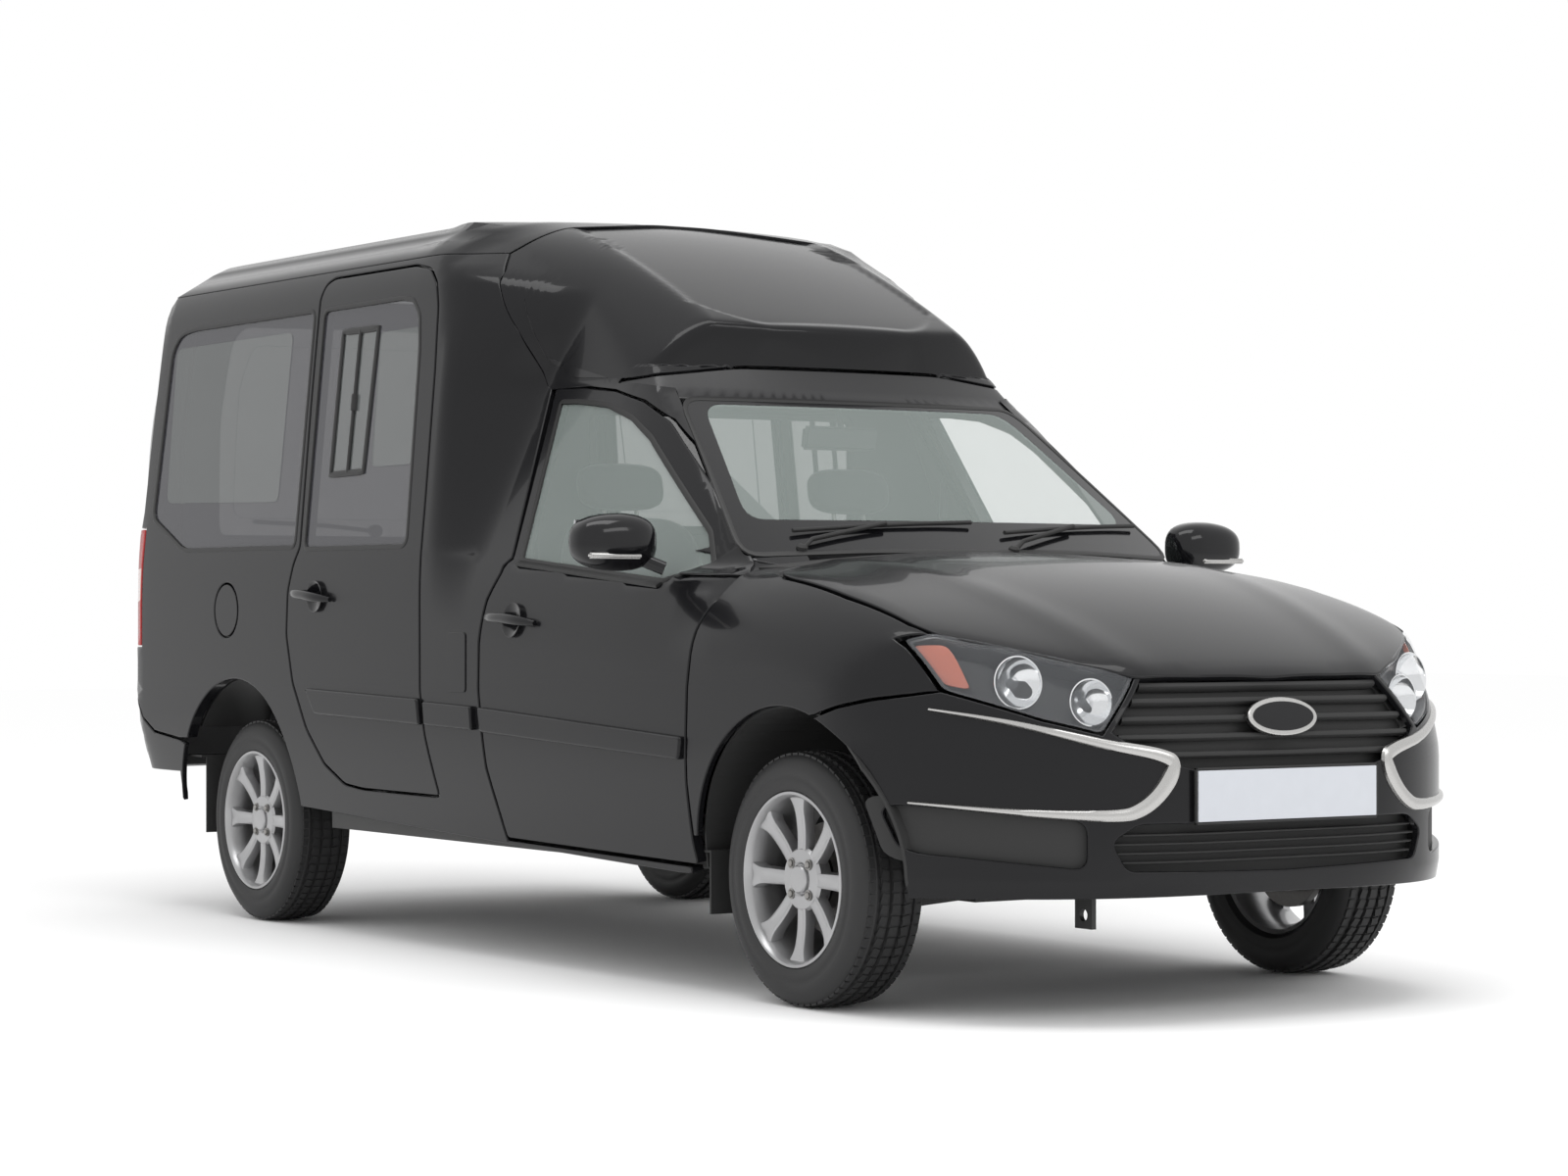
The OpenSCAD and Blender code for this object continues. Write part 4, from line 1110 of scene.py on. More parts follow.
FAN = Surface(fan_point, lambda p: p - columns(np.minimum(p[:, 0], FAN_X) - 0.02, 0.0, 1.3))
WING_C = (0.45, 0.55)
WING_V = 0.4


def wing_point(uv):
    a = uv[:, 1] / WING_V
    return reach_out(nose_field, columns(uv[:, 0], *WING_C), columns(0.0, np.cos(a), np.sin(a)), 0.05, 0.9)


WING_FAN = Surface(wing_point, lambda p: p - columns(p[:, 0], *WING_C))


def wing_uv(points):
    p = np.asarray(points, float)
    return np.stack([p[:, 0], WING_V * np.arctan2(p[:, 2] - WING_C[1], p[:, 1] - WING_C[0])], 1)


TURN_X, TURN_R = -1.75, 0.6


def flank_rays(uv):
    """u is x along the side, then the turn round the rear corner; v is the height."""
    t = above(TURN_X - uv[:, 0]) / TURN_R
    return columns(np.maximum(uv[:, 0], TURN_X), 0.0, uv[:, 1]), columns(-np.sin(t), np.cos(t), 0.0)


def flank_point(uv):
    origin, way = flank_rays(uv)
    return reach_out(upper_field, origin, way, 0.2, 1.1)


FLANK = Surface(flank_point, lambda p: p - columns(np.maximum(p[:, 0], TURN_X), 0.0, p[:, 2]))


def flank_place(points):
    p = np.asarray(points, float)
    t = np.arctan2(above(TURN_X - p[:, 0]), p[:, 1])
    return np.stack([np.where(p[:, 0] < TURN_X, TURN_X - TURN_R * t, p[:, 0]), p[:, 2]], 1)


def along(parts, step=0.03):
    """Outline on the flank: ("s", x, z) points are seen from the side, ("t", y, z) from behind."""
    out = []
    for i, a in enumerate(parts):
        b = parts[(i + 1) % len(parts)]
        n = max(1, int(math.hypot(b[1] - a[1], b[2] - a[2]) / step)) if a[0] == b[0] else 1
        for k in range(n):
            u, z = a[1] + (b[1] - a[1]) * k / n, a[2] + (b[2] - a[2]) * k / n
            if a[0] == "s":
                out.append(SIDE.point(np.array([[u, z]]))[0])
            else:
                start = np.array([[TURN_X, u, z]])
                out.append(reach_out(upper_field, start, np.array([[-1.0, 0, 0]]), 0.1, 0.6)[0])
    return flank_place(np.array(out))


# ---------------------------------------------------------------- body


def body_sides():
    """Side of the load body with column, sill and rear corner, on both sides."""
    s = sizes()
    door = [(-0.019, 1.4895), (0.006, 1.404), (0.118, 1.041), (0.112, 0.998), (0.076, 0.932),
            (0.052, 0.821), (0.049, 0.700), (0.083, 0.498), (0.130, 0.391), (0.160, 0.314)]
    side = [(1.04, 0.2975), (1.04, 0.2825), (0.983, 0.281), (0.123, 0.306), (-1.0163, 0.349)]
    side += [tuple(p) for p in curved_arch(REAR_ARCH, 6.3, 147)]
    side += [(-1.80, 0.520), (-1.98, 0.537), (-2.06, 0.575)]
    rear = [(0.80, 0.700), (0.697, 0.700), (0.7065, 0.90), (0.6965, 1.40), (0.670, 1.782),
            (0.646, 1.853), (0.640, 1.86), (0.700, 1.86)]
    top = [(-2.02, 1.86), (-0.215, 1.86), (-0.150, 1.80), (-0.075, 1.64), (-0.034, 1.495)]
    outline = along([("s", *p) for p in side] + [("t", *p) for p in rear] + [("s", *p) for p in top + door])
    holes = [grown(rounded(SIDE_DOOR, 0.015), GAP), rounded(QUARTER_WINDOW, 0.03),
             along(tail_lamp_edge(0.002))]
    flap = arc(FUEL, FUEL[2] + GAP, 0, 350, 35)
    left = panel(Shape(), FLANK, outline, s.wall, holes, s.cell, s.lip, 0, 1)
    right = panel(Shape(), FLANK, outline, s.wall, holes + [flap], s.cell, s.lip, 0, 1)
    Shape().join(left).join(right, mirrored=True).build("load_body_sides", ["paint", "lining"], "body",
                                                        "paint", replaces=["body_shell"])


def tail_lamp_edge(grow):
    """Upright rear lamp: its outer half lies on the side, its inner half faces back."""
    back = [("t", 0.770 - grow, z) for z in np.linspace(0.792 - grow, 1.150 + grow, 12)]
    return back + [("s", -2.075 + grow, z) for z in np.linspace(1.150 + grow, 0.792 - grow, 12)]


def roof_and_cap():
    s = sizes()
    seam = [(-0.335 + 0.12 * (1 - math.sin(a)) ** 1.3, a * FAN_V) for a in np.linspace(0, math.pi, 40)]
    top = math.pi * FAN_V
    rear = rear_roof_edge()
    roof = np.array([(u - 0.003, v) for u, v in seam] + rear)
    shape = Shape()
    panel(shape, FAN, roof, s.wall, (), s.cell, 0.002, 0, 1)
    shape.build("roof", ["paint", "lining"], "body", "paint")
    cap_edge = []
    for a in np.linspace(math.radians(71), -math.radians(71), 60):
        cap_edge.append((a, cap_foot(a)))
    edge = CAB.point(np.array(cap_edge))
    edge_uv = fan_uv(edge)
    side = [(u, 0.0) for u in np.linspace(-0.215, 0.30, 16)]
    outline = np.array([(u + 0.003, v) for u, v in seam[::-1]] + side[1:] + edge_uv[1:-1].tolist()
                       + [(u, top) for u, _ in side[::-1][:-1]])
    cap = Shape()

    def sunk(uv):
        """The long panel on the cap lies a little lower, with soft edges."""
        p = FAN.raw(uv)
        y = np.abs(p[:, 1])
        ahead = 0.485 - 0.16 * above((y - 0.2) / 0.2) ** 2 - p[:, 0]
        room = np.minimum(np.minimum(0.40 - y, ahead), p[:, 0] + 0.40)
        return -0.008 * smooth(room / 0.035)
    panel(cap, FAN, outline, 0.014, (), 0.015, 0.003, 0, 1, bulge=sunk)
    # Painted shade: the black triangle on each side of the cap stands for the shade in a groove there. It is
    # laid as a thin black sheet just over the paint rather than cut as a recess.
    scoop = fan_uv(np.array([(-0.081, 0.62, 1.752), (0.084, 0.62, 1.512), (0.254, 0.62, 1.503)]))
    dark = panel(Shape(), FAN.lifted(0.0015), rounded(scoop, 0.02), 0.004, (), 0.02, 0.001, 0)
    dark.both_sides().build("cap_groove_painted_shade", ["black_gloss"], "body", "black_plastic")
    cap.build("roof_cap_shell", ["paint", "lining"], "body", "paint", replaces=["roof_cap"])
    angles = np.linspace(-math.radians(71), math.radians(71), 70)
    low = [(a, 1.4435 if abs(a) < math.radians(53) else header_z(a) + 0.003) for a in angles]
    high = [(a, cap_foot(a) - 0.004) for a in angles[::-1]]
    visor = panel(Shape(), CAB.lifted(-0.004), np.array(low + high), 0.008, (), 0.02, 0.003, 0)
    visor.build("visor_strip", ["dark_satin"], "body", "black_plastic")


def header_z(a):
    """Top of the pillars and the rail over the doors, at this angle from straight ahead."""
    return 1.458 + 0.025 * smooth((np.abs(a) - math.radians(45)) / math.radians(26))


def cap_foot(a):
    """Lower edge of the cap, at this angle from straight ahead."""
    return mix(1.532, 1.496, smooth((np.abs(a) - math.radians(38)) / math.radians(33)))


def rear_roof_edge():
    """Rear edge of the roof over the tailgate, as fan coordinates from right to left."""
    out = []
    for y in np.linspace(-0.64, 0.64, 40):
        z = 1.893 if abs(y) < 0.572 else 1.893 - 0.033 * (abs(y) - 0.572) / 0.068
        o = np.array([[-1.75, y, z]])
        p = reach_out(upper_field, o, np.array([[-1.0, 0, 0]]), 0.1, 0.6)
        u, v = fan_uv(p)[0]
        out.append((u, abs(v)))
    return out


def a_pillars():
    """Pillar between windscreen and front door, and the rail over the door."""
    lower = [(1.106, 0.996), (1.016, 1.066), (0.911, 1.140), (0.567, 1.386), (0.443, 1.440), (0.301, 1.474),
             (0.150, 1.490), (-0.019, 1.4925)]
    low = SIDE.point(split_open(lower, 0.03))
    top = [(x, 1.4965) for x in np.linspace(-0.019, 0.29, 10)]
    head = SIDE.point(np.array(top))
    angles = np.radians(np.linspace(71, 54, 10))
    corner = CAB.point(np.stack([angles, header_z(angles)], 1))
    glass = [(0.5265, 1.436), (0.654, 1.075)]
    pillar = screen_surface_points(split_open(glass, 0.03))
    base = screen_surface_points(np.array([(0.654, 1.066), (0.690, 1.050)]))
    outline = ring_uv(CAB_X0, np.concatenate([low, head, corner, pillar, base]))
    shape = panel(Shape(), CAB, outline, 0.012, (), 0.02, 0.003, 0, 0)
    shape.both_sides().build("windscreen_pillars", ["black_gloss"], "body", "paint")


def split_open(points, step):
    p = np.asarray(points, float)
    out = []
    for a, b in zip(p[:-1], p[1:]):
        n = max(1, int(np.linalg.norm(b - a) / step))
        out.extend(a + (b - a) * k / n for k in range(n))
    return np.array(out + [p[-1]])


def screen_surface_points(yz):
    """Places on the rounded cab, straight ahead of points drawn from the front."""
    yz = np.asarray(yz, float)
    o = columns(0.2, yz[:, 0], yz[:, 1])
    return reach_out(upper_field, o, columns(1.0, 0.0, 0.0) + 0 * o, 0.0, 1.1)


def windscreen():
    outline = rounded(grown(SCREEN_OUTLINE, -0.002), 0.05)
    clear = rounded([(-0.585, 1.125), (0.585, 1.125), (0.470, 1.425), (-0.470, 1.425)], 0.05)
    shape = Shape()
    panel(shape, SCREEN, outline, 0.005, [clear], 0.03, 0.0015, 0)
    panel(shape, SCREEN, clear, 0.005, (), 0.03, 0.0005, 1, 2)
    shape.build("windscreen_glass", ["black_gloss", "clear_glass", "inner_glass"], "body", "clear_glass",
                replaces=["windscreen"])
    seal = Shape()
    band(seal, SCREEN, split_edges(turned_left(rounded(SCREEN_OUTLINE, 0.05)), 0.03), 0.012, 0.002,
         closed=True)
    seal.build("windscreen_seal", ["rubber_seal"], "body", "black_plastic")


def cowl_and_wipers():
    """Panel at the foot of the windscreen, with two wipers parked on the glass."""
    shape = Shape()
    back = [(1.072 - 0.11 * (y / 0.7) ** 2, y) for y in np.linspace(-0.64, 0.64, 24)]
    front = [(1.117 - 0.009, 0.0), (1.119, 0.260), (1.151, 0.470), (1.186, 0.600), (1.19, 0.64)]
    edge = [(x, -y) for x, y in front[::-1]][:-1] + front
    outline = np.array(edge + back[::-1])
    panel(shape, BONNET, outline, 0.01, (), 0.03, 0.003, 0)
    for y0, y1 in ((0.10, 0.60), (-0.50, 0.02)):
        tip = SCREEN.point(np.array([[y1, 1.093 + 0.02]]), -0.012)[0]
        heel = SCREEN.point(np.array([[y0, 1.088]]), -0.012)[0]
        pivot = np.array([1.085 - 0.11 * (y0 / 0.7) ** 2, y0, 1.048])
        tube(shape, [pivot, pivot + (0.0, 0.03, 0.028), (heel + tip) / 2 + (0.012, 0, 0.008)], 0.006, 8)
        tube(shape, [heel, (heel * 2 + tip) / 3 + (0.004, 0, 0.003), (heel + tip * 2) / 3 + (0.004, 0, 0.003),
                     tip], 0.0055, 8)
        turn(shape, [(0, -0.02), (0.014, -0.02), (0.014, 0.01), (0.008, 0.016),
             (0, 0.016)], pivot, (0.3, 0, 1),
             20)
    shape.build("cowl_and_wipers", ["black_plastic"], "body", "black_plastic")


def bonnet():
    s = sizes()

    def crease(uv):
        """Two soft ridges run from the screen's corners to the nose."""
        line = 0.50 - 0.16 * ramp((uv[:, 0] - 1.15) / 1.0)
        d = (np.abs(uv[:, 1]) - line) / 0.06
        return 0.004 * np.exp(-d * d)
    outline = rounded(mirrored_top(BONNET_HALF), 0.03, 4)
    shape = panel(Shape(), BONNET, outline, s.sheet, (), s.cell, s.lip, 0, 1, bulge=crease)
    shape.build("bonnet_panel", ["paint", "lining"], "bonnet", "paint", replaces=["bonnet"])


def wings():
    """Front wings: from the door's edge to the headlamp, over the wheel."""
    s = sizes()
    lower = [(1.0665, 0.372), (1.058, 0.500), (1.068, 0.7215), (1.090, 0.8565), (1.112, 0.928),
             (1.118, 0.985),
             (1.13, 1.005)]
    parts = [WING.point(np.array([[x, z]]))[0] for x, z in reversed(lower[:-1])]
    arch = [tuple(p) for p in curved_arch(FRONT_ARCH, 169.5, 72.5)]
    parts += [WING.point(np.array([[x, z]]))[0] for x, z in arch]
    parts += [WING.point(np.array([[x, z]]))[0] for x, z in split_open(
        [(1.59, 0.672), (1.673, 0.693), (1.76, 0.711), (1.842, 0.722)], 0.03)]
    lamp = split_open([(0.7195, 0.7285), (0.757, 0.8435)], 0.02)
    parts += list(front_points(lamp))
    top = [(1.838, 0.705), (1.780, 0.7205), (1.560, 0.7325), (1.300, 0.7285), (1.232, 0.707), (1.188, 0.608),
           (1.185, 0.645), (1.14, 0.66)]
    parts += list(BONNET.point(split_open(top, 0.03)))
    shape = panel(Shape(), WING_FAN, wing_uv(np.array(parts)), s.sheet, (), s.cell, s.lip, 0, 1)
    shape.both_sides().build("wings", ["paint", "lining"], "body", "paint", replaces=["front_fenders"])


def front_points(yz):
    yz = np.asarray(yz, float)
    o = columns(1.2, yz[:, 0], yz[:, 1])
    return reach_out(nose_field, o, columns(1.0, 0.0, 0.0) + 0 * o, 0.0, 1.1)


def front_bumper():
    s = sizes()
    arch = [(1.592, 0.664)] + [tuple(p) for p in curved_arch(FRONT_ARCH, 69.5, -5.0)]
    side = flank_uv(split_open([(1.838, 0.7165), (1.76, 0.705), (1.673, 0.687)], 0.03))
    side = np.vstack([side, flank_uv(np.array(arch))])
    lip_line = [(a, 0.268 + 0.012 * math.cos(a)) for a in np.linspace(side[-1][0] - 0.03, 0, 30)]
    lamp = front_uv(split_open([(0.352, 0.7645), (0.461, 0.6335), (0.568, 0.6645), (0.716, 0.7265)], 0.03))
    grille = front_uv(split_open([(0, 0.556), (0.262, 0.558), (0.370, 0.586), (0.440, 0.640), (0.337, 0.764)],
                                 0.03))
    half = np.vstack([np.array(lip_line)[::-1], side[::-1], lamp[::-1], grille[::-1][:-1]])
    # half runs from the middle of the lip round to the grille's foot
    other = half[::-1] * [-1, 1]
    outline = tidy(np.vstack([half, other[1:-1]]))
    intake = front_uv(split_edges(rounded(mirrored_half(INTAKE_HALF), 0.02), 0.03))
    fog = front_uv(split_edges(rounded([(0.50, 0.446), (0.60, 0.460), (0.80, 0.480), (0.775, 0.375),
        (0.50, 0.342)], 0.03), 0.03))
    shape = Shape()
    panel(shape, NOSE, outline, s.sheet, [intake, fog, fog * [-1, 1]], s.cell, s.lip, 0, 1)
    shape.build("front_bumper_skin", ["paint", "lining"], "body", "paint", replaces=["front_bumper"])


def grille():
    """Dark mesh behind the grille and intake openings, bars, badge and chrome arms."""
    shape = Shape()
    deep = NOSE.lifted(-0.034)
    opening = mirrored_half(GRILLE_HALF)
    panel(shape, deep, front_uv(split_edges(grown(rounded(opening, 0.02), 0.012), 0.03)), 0.004, (), 0.03,
          0.001, 0)
    panel(shape, deep, front_uv(split_edges(grown(rounded(mirrored_half(INTAKE_HALF), 0.02), 0.012), 0.03)),
          0.004, (), 0.03, 0.001, 0)
    fog = rounded([(0.48, 0.462), (0.60, 0.478), (0.82, 0.500), (0.795, 0.355), (0.48, 0.322)], 0.03)
    back = panel(Shape(), NOSE.lifted(-0.0165), front_uv(split_edges(fog, 0.03)), 0.004, (), 0.03, 0.001, 0)
    shape.join(back).join(back, mirrored=True)
    for z in (0.592, 0.632, 0.672, 0.712, 0.748):
        reach = np.interp(z, [0.556, 0.586, 0.640, 0.762], [0.255, 0.368, 0.436, 0.336])
        path = front_uv(np.stack([np.linspace(-reach, reach, 40), np.full(40, z)], 1))
        band(shape, NOSE.lifted(-0.024), path, 0.017, 0.014, 0, sink=0.006)
    for z in np.arange(0.356, 0.435, 0.02):
        reach = np.interp(z, [0.338, 0.400, 0.440], [0.415, 0.448, 0.390])
        path = front_uv(np.stack([np.linspace(-reach, reach, 40), np.full(40, z)], 1))
        band(shape, NOSE.lifted(-0.022), path, 0.006, 0.008, 0, sink=0.006)
    shape.build("grille_mesh", ["black_plastic"], "body", "black_plastic", replaces=["grille"])
    bright = Shape()
    arm = curve([(0.735, 0.688), (0.620, 0.660), (0.470, 0.617), (0.345, 0.590), (0.312, 0.566),
                 (0.342, 0.512), (0.392, 0.472), (0.450, 0.460), (0.600, 0.466), (0.765, 0.484)], 8)
    path = front_uv(arm)
    share = np.linspace(0, 1, len(path))
    width = np.interp(share, [0, 0.15, 0.36, 0.5, 0.64, 0.8, 1], [0.2, 0.5, 0.95, 1.35, 1.1, 0.8, 0.2])
    one = band(Shape(), NOSE, path, 0.034, 0.010, 0, taper=width, sink=0.002)
    bright.join(one).join(one, mirrored=True)
    oval = NOSE.lifted(-0.004)
    a = np.linspace(0, 2 * math.pi, 49)[:-1]
    ring = np.stack([0.100 * np.cos(a), 0.668 + 0.0425 * np.sin(a)], 1)
    panel(bright, oval.lifted(0.012), front_uv(ring), 0.014, (), 0.02, 0.004, 0)
    bright.build("bright_trim", ["chrome"], "body", "chrome")
    face = Shape()
    inner = np.stack([0.088 * np.cos(a), 0.668 + 0.032 * np.sin(a)], 1)
    panel(face, oval.lifted(0.0135), front_uv(inner), 0.003, (), 0.02, 0.001, 0)
    face.build("badge_blank", ["black_gloss"], "body", "black_plastic")


def headlamps():
    outline = front_uv(split_edges(rounded(grown(LAMP, -0.003), 0.012), 0.02))
    lens = panel(Shape(), NOSE, outline, 0.003, (), 0.025, 0.0015, 0, 1)
    lens.both_sides().build("headlamp_lenses", ["lamp_glass", "inner_glass"], "body", "lamp_lens")
    bowl = Shape()
    deep = front_uv(split_edges(rounded(grown(LAMP, -0.006), 0.012), 0.02))
    panel(bowl, NOSE.lifted(-0.052), deep, 0.006, (), 0.03, 0.002, 0)
    rim = split_edges(rounded(grown(LAMP, -0.005), 0.012), 0.02)
    uv = front_uv(rim)
    near, far = NOSE.point(uv, 0.006), NOSE.point(uv, 0.056)
    inner = front_uv(edge_shift(rim, 0.004))
    near2, far2 = NOSE.point(inner, 0.006), NOSE.point(inner, 0.056)
    count = len(uv)
    wall = np.concatenate([near, far, near2, far2])
    faces = []
    for i in range(count):
        j = (i + 1) % count
        faces += [[i, j, count + j, count + i], [2 * count + j, 2 * count + i, 3 * count + i, 3 * count + j],
                  [j, i, 2 * count + i, 2 * count + j], [count + i, count + j, 3 * count + j, 3 * count + i]]
    bowl.join(merged(Shape().add(wall, faces)))
    spots = [(0.470, 0.720, 0.050), (0.600, 0.762, 0.056)]
    for y, z, r in spots:
        at = NOSE.point(front_uv([(y, z)]), 0.046)[0]
        turn(bowl, [(0.012, -0.004), (r * 0.55, 0.006), (r * 0.9, 0.024), (r, 0.034), (r + 0.003, 0.034),
                    (r + 0.003, 0.030), (r * 0.6, 0.0), (0.012, -0.008)], at, (1, 0.18, 0.1), 40, 1)
        turn(bowl, [(0, -0.006), (0.014, -0.006), (0.016, 0.004), (0.010, 0.014), (0, 0.017)], at,
             (1, 0.18, 0.1), 24, 2)
    amber = [(0.688, 0.838), (0.742, 0.834), (0.712, 0.744), (0.672, 0.735)]
    panel(bowl, NOSE.lifted(-0.014), front_uv(split_edges(rounded(amber, 0.012), 0.02)), 0.012, (), 0.02,
          0.002, 3)
    bowl.both_sides().build("headlamp_inners", ["lamp_dark", "reflector", "lamp_glass", "amber_lens"], "body",
                            "lamp_lens", replaces=["headlamps"])


def edge_shift(points, amount):
    p = turned_left(points)
    return p + edge_normals(p) * amount


def tail_lamps():
    edge = along(tail_lamp_edge(-0.002))
    band_z = (0.93, 1.03)

    def which(uv):
        return np.where((uv[:, 1] > band_z[0]) & (uv[:, 1] < band_z[1]), 1, 0)
    shape = panel(Shape(), FLANK, edge, 0.03, (), 0.02, 0.003, which, 2)
    shape.both_sides().build("rear_lamps", ["red_lens", "amber_lens", "lamp_dark"], "body", "red_lens",
                             replaces=["tail_lamps"])


def plates():
    shape = Shape()
    for node in (0, 1):
        front = node == 0
        x = FRONT_X - 0.0057 if front else REAR_X
        z = 0.499 if front else 0.560
        box_shape(shape, (x, -0.26, z - 0.056), (x + 0.0057, 0.26, z + 0.056), 0, 0.0015)
    shape.build("blank_plates", ["plate_face"], "body", "blank_plate", replaces=["number_plates"])
    frame_shape = Shape()
    for x0, z in ((FRONT_X - 0.0085, 0.499), (REAR_X + 0.0015, 0.560)):
        for lo, hi in (((-0.266, -0.062), (0.266, -0.0575)), ((-0.266, 0.0575), (0.266, 0.062)),
                       ((-0.266, -0.062), (-0.2615, 0.062)), ((0.2615, -0.062), (0.266, 0.062))):
            box_shape(frame_shape, (x0, lo[0], z + lo[1]), (x0 + 0.007, hi[0], z + hi[1]), 0, 0.001)
    frame_shape.build("plate_frames", ["black_plastic"], "body", "black_plastic")


# ---------------------------------------------------------------- doors


def pair(shape, name, mats, slot, bodies, nodes=None):
    """The same piece on left and right, each on its own body."""
    for k, mirrored in ((0, False), (1, True)):
        Shape().join(shape, mirrored).build(f"{bodies[k]}_{name}", mats, bodies[k], slot,
                                            replaces=[nodes[k]] if nodes else ())


FRONT_DOORS = ("left_front_door", "right_front_door")
SIDE_DOORS = ("left_side_door", "right_side_door")


def front_doors():
    s = sizes()
    outline = rounded(FRONT_DOOR, 0.012, 4)
    window = rounded(FRONT_WINDOW, 0.012, 4)
    pair(panel(Shape(), SIDE, outline, 0.028, [window], s.cell * 0.8, s.lip, 0, 1), "panel",
         ["paint", "lining"], "paint", FRONT_DOORS, FRONT_DOORS)
    pane = panel(Shape(), SIDE.lifted(-0.004), grown(window, -0.002), 0.004, (), 0.035, 0.001, 0, 1)
    pair(pane, "glass", ["clear_glass", "inner_glass"], "clear_glass", FRONT_DOORS,
         ("left_front_window", "right_front_window"))
    frame_band = band(Shape(), SIDE, split_edges(turned_left(window), 0.03), s.seal, 0.002, closed=True)
    strip = [(0.178, 1.024), (0.860, 0.966)]
    band(frame_band, SIDE, split_open(strip, 0.03), 0.012, 0.004)
    pair(frame_band, "seal", ["rubber_seal"], "black_plastic", FRONT_DOORS)
    moulding([(0.066, 0.654), (1.056, 0.606), (1.044, 0.552), (0.082, 0.590)], FRONT_DOORS)
    handle((0.233, 0.878), (0.100, 0.884), (0.349, 0.870), FRONT_DOORS)


def side_doors():
    s = sizes()
    outline = rounded(SIDE_DOOR, 0.015, 4)
    window = rounded(SIDE_WINDOW, 0.015, 4)
    pair(panel(Shape(), FLANK, outline, s.wall, [window], s.cell, s.lip, 0, 1), "panel",
         ["paint", "lining"], "paint", SIDE_DOORS, SIDE_DOORS)
    clear = [(-0.628, 1.665), (-0.402, 1.668), (-0.377, 1.296), (-0.611, 1.295)]
    vent = [(-0.848, 1.679), (-0.637, 1.679), (-0.653, 1.284), (-0.850, 1.280)]
    glass_piece(FLANK, window, SIDE_DOORS, "glass", ("left_side_window", "right_side_window"),
                [clear, vent])
    frame_band = band(Shape(), FLANK, split_edges(turned_left(window), 0.03), s.seal, 0.002, closed=True)
    slider = FLANK.lifted(-0.004)
    band(frame_band, slider, split_edges(turned_left(np.array(vent)), 0.03), 0.020, 0.006, closed=True)
    band(frame_band, slider, split_open([(-0.742, 1.679), (-0.746, 1.282)], 0.03), 0.016, 0.007)
    band(frame_band, slider, split_open([(-0.741, 1.500), (-0.741, 1.455)], 0.01), 0.024, 0.012)
    pair(frame_band, "seal", ["rubber_seal"], "black_plastic", SIDE_DOORS)
    moulding([(-0.931, 0.684), (-0.262, 0.669), (-0.248, 0.600), (-0.870, 0.613)], SIDE_DOORS)
    handle((-0.876, 0.941), (-1.017, 0.952), (-0.783, 0.932), SIDE_DOORS)


def glass_piece(surface, outline, bodies, name, nodes, clear=()):
    """Dark glass a little behind the panel, with paler areas where no print is."""
    inset = surface.lifted(-0.004)
    outline = grown(outline, -0.002)
    clear = [rounded(c, 0.02, 4) for c in clear]
    shape = panel(Shape(), inset, outline, 0.004, clear, 0.035, 0.001, 0, 2)
    for c in clear:
        panel(shape, inset, c, 0.004, (), 0.035, 0.0003, 1, 2)
    pair(shape, name, ["tinted_glass", "half_tint", "inner_glass"], "tinted_glass", bodies, nodes)


def moulding(points, bodies):
    surface = FLANK if bodies == SIDE_DOORS else SIDE
    shape = panel(Shape(), surface.lifted(0.014), rounded(points, 0.012, 4), 0.0145, (), 0.03, 0.007, 0)
    pair(shape, "moulding", ["paint"], "paint", bodies)


def handle(cup, rear, front, bodies):
    """Shell dish with a bar across it."""
    surface = FLANK if bodies == SIDE_DOORS else SIDE
    shape = Shape()
    a = np.linspace(0, 2 * math.pi, 33)[:-1]
    disc = np.stack([cup[0] + 0.047 * np.cos(a), cup[1] + 0.044 * np.sin(a)], 1)

    def dish(uv):
        r = np.hypot(uv[:, 0] - cup[0], uv[:, 1] - cup[1]) / 0.044
        return -0.009 * above(1 - r ** 2)
    panel(shape, surface.lifted(0.0105), disc, 0.0112, (), 0.008, 0.001, 0, bulge=dish)
    path = split_open([rear, ((rear[0] + front[0]) / 2, (rear[1] + front[1]) / 2 + 0.003), front], 0.012)
    t = np.linspace(-1, 1, len(path))
    arch_up = 0.030 * (1 - np.abs(t) ** 3.0)
    centre = surface.point(path, -(0.006 + arch_up))
    rings, faces = [], []
    n = surface.normal(path)
    along_bar = np.gradient(centre, axis=0)
    along_bar /= np.linalg.norm(along_bar, axis=1)[:, None]
    across = np.cross(along_bar, n)
    for ang in np.linspace(0, 2 * math.pi, 14, endpoint=False):
        wide = 0.0125 * (1 - 0.35 * np.abs(t) ** 4)
        rings.append(centre + across * (math.cos(ang) * wide)[:, None] + n * 0.0065 * math.sin(ang))
    m = len(path)
    verts = np.concatenate(rings)
    for r in range(14):
        q = (r + 1) % 14
        faces += [[r * m + i, r * m + i + 1, q * m + i + 1, q * m + i] for i in range(m - 1)]
    faces.append([r * m for r in range(14)])
    faces.append([r * m + m - 1 for r in range(14)][::-1])
    shape.join(merged(Shape().add(verts, faces)))
    pair(shape, "handle", ["black_gloss"], "black_plastic", bodies)


def centre_moulding():
    """Moulding and cover on the fixed panel between the doors."""
    shape = Shape()
    panel(shape, FLANK.lifted(0.014), rounded([(-0.232, 0.662), (0.030, 0.655), (0.038, 0.594),
                                               (-0.222, 0.600)], 0.008, 3), 0.0145, (), 0.03, 0.006, 0)
    panel(shape, FLANK.lifted(0.003), rounded([(-0.109, 0.690), (-0.013, 0.690), (-0.013, 0.846),
                                               (-0.109, 0.846)], 0.012, 4), 0.0035, (), 0.03, 0.002, 0)
    shape.both_sides().build("centre_moulding", ["paint"], "body", "paint")


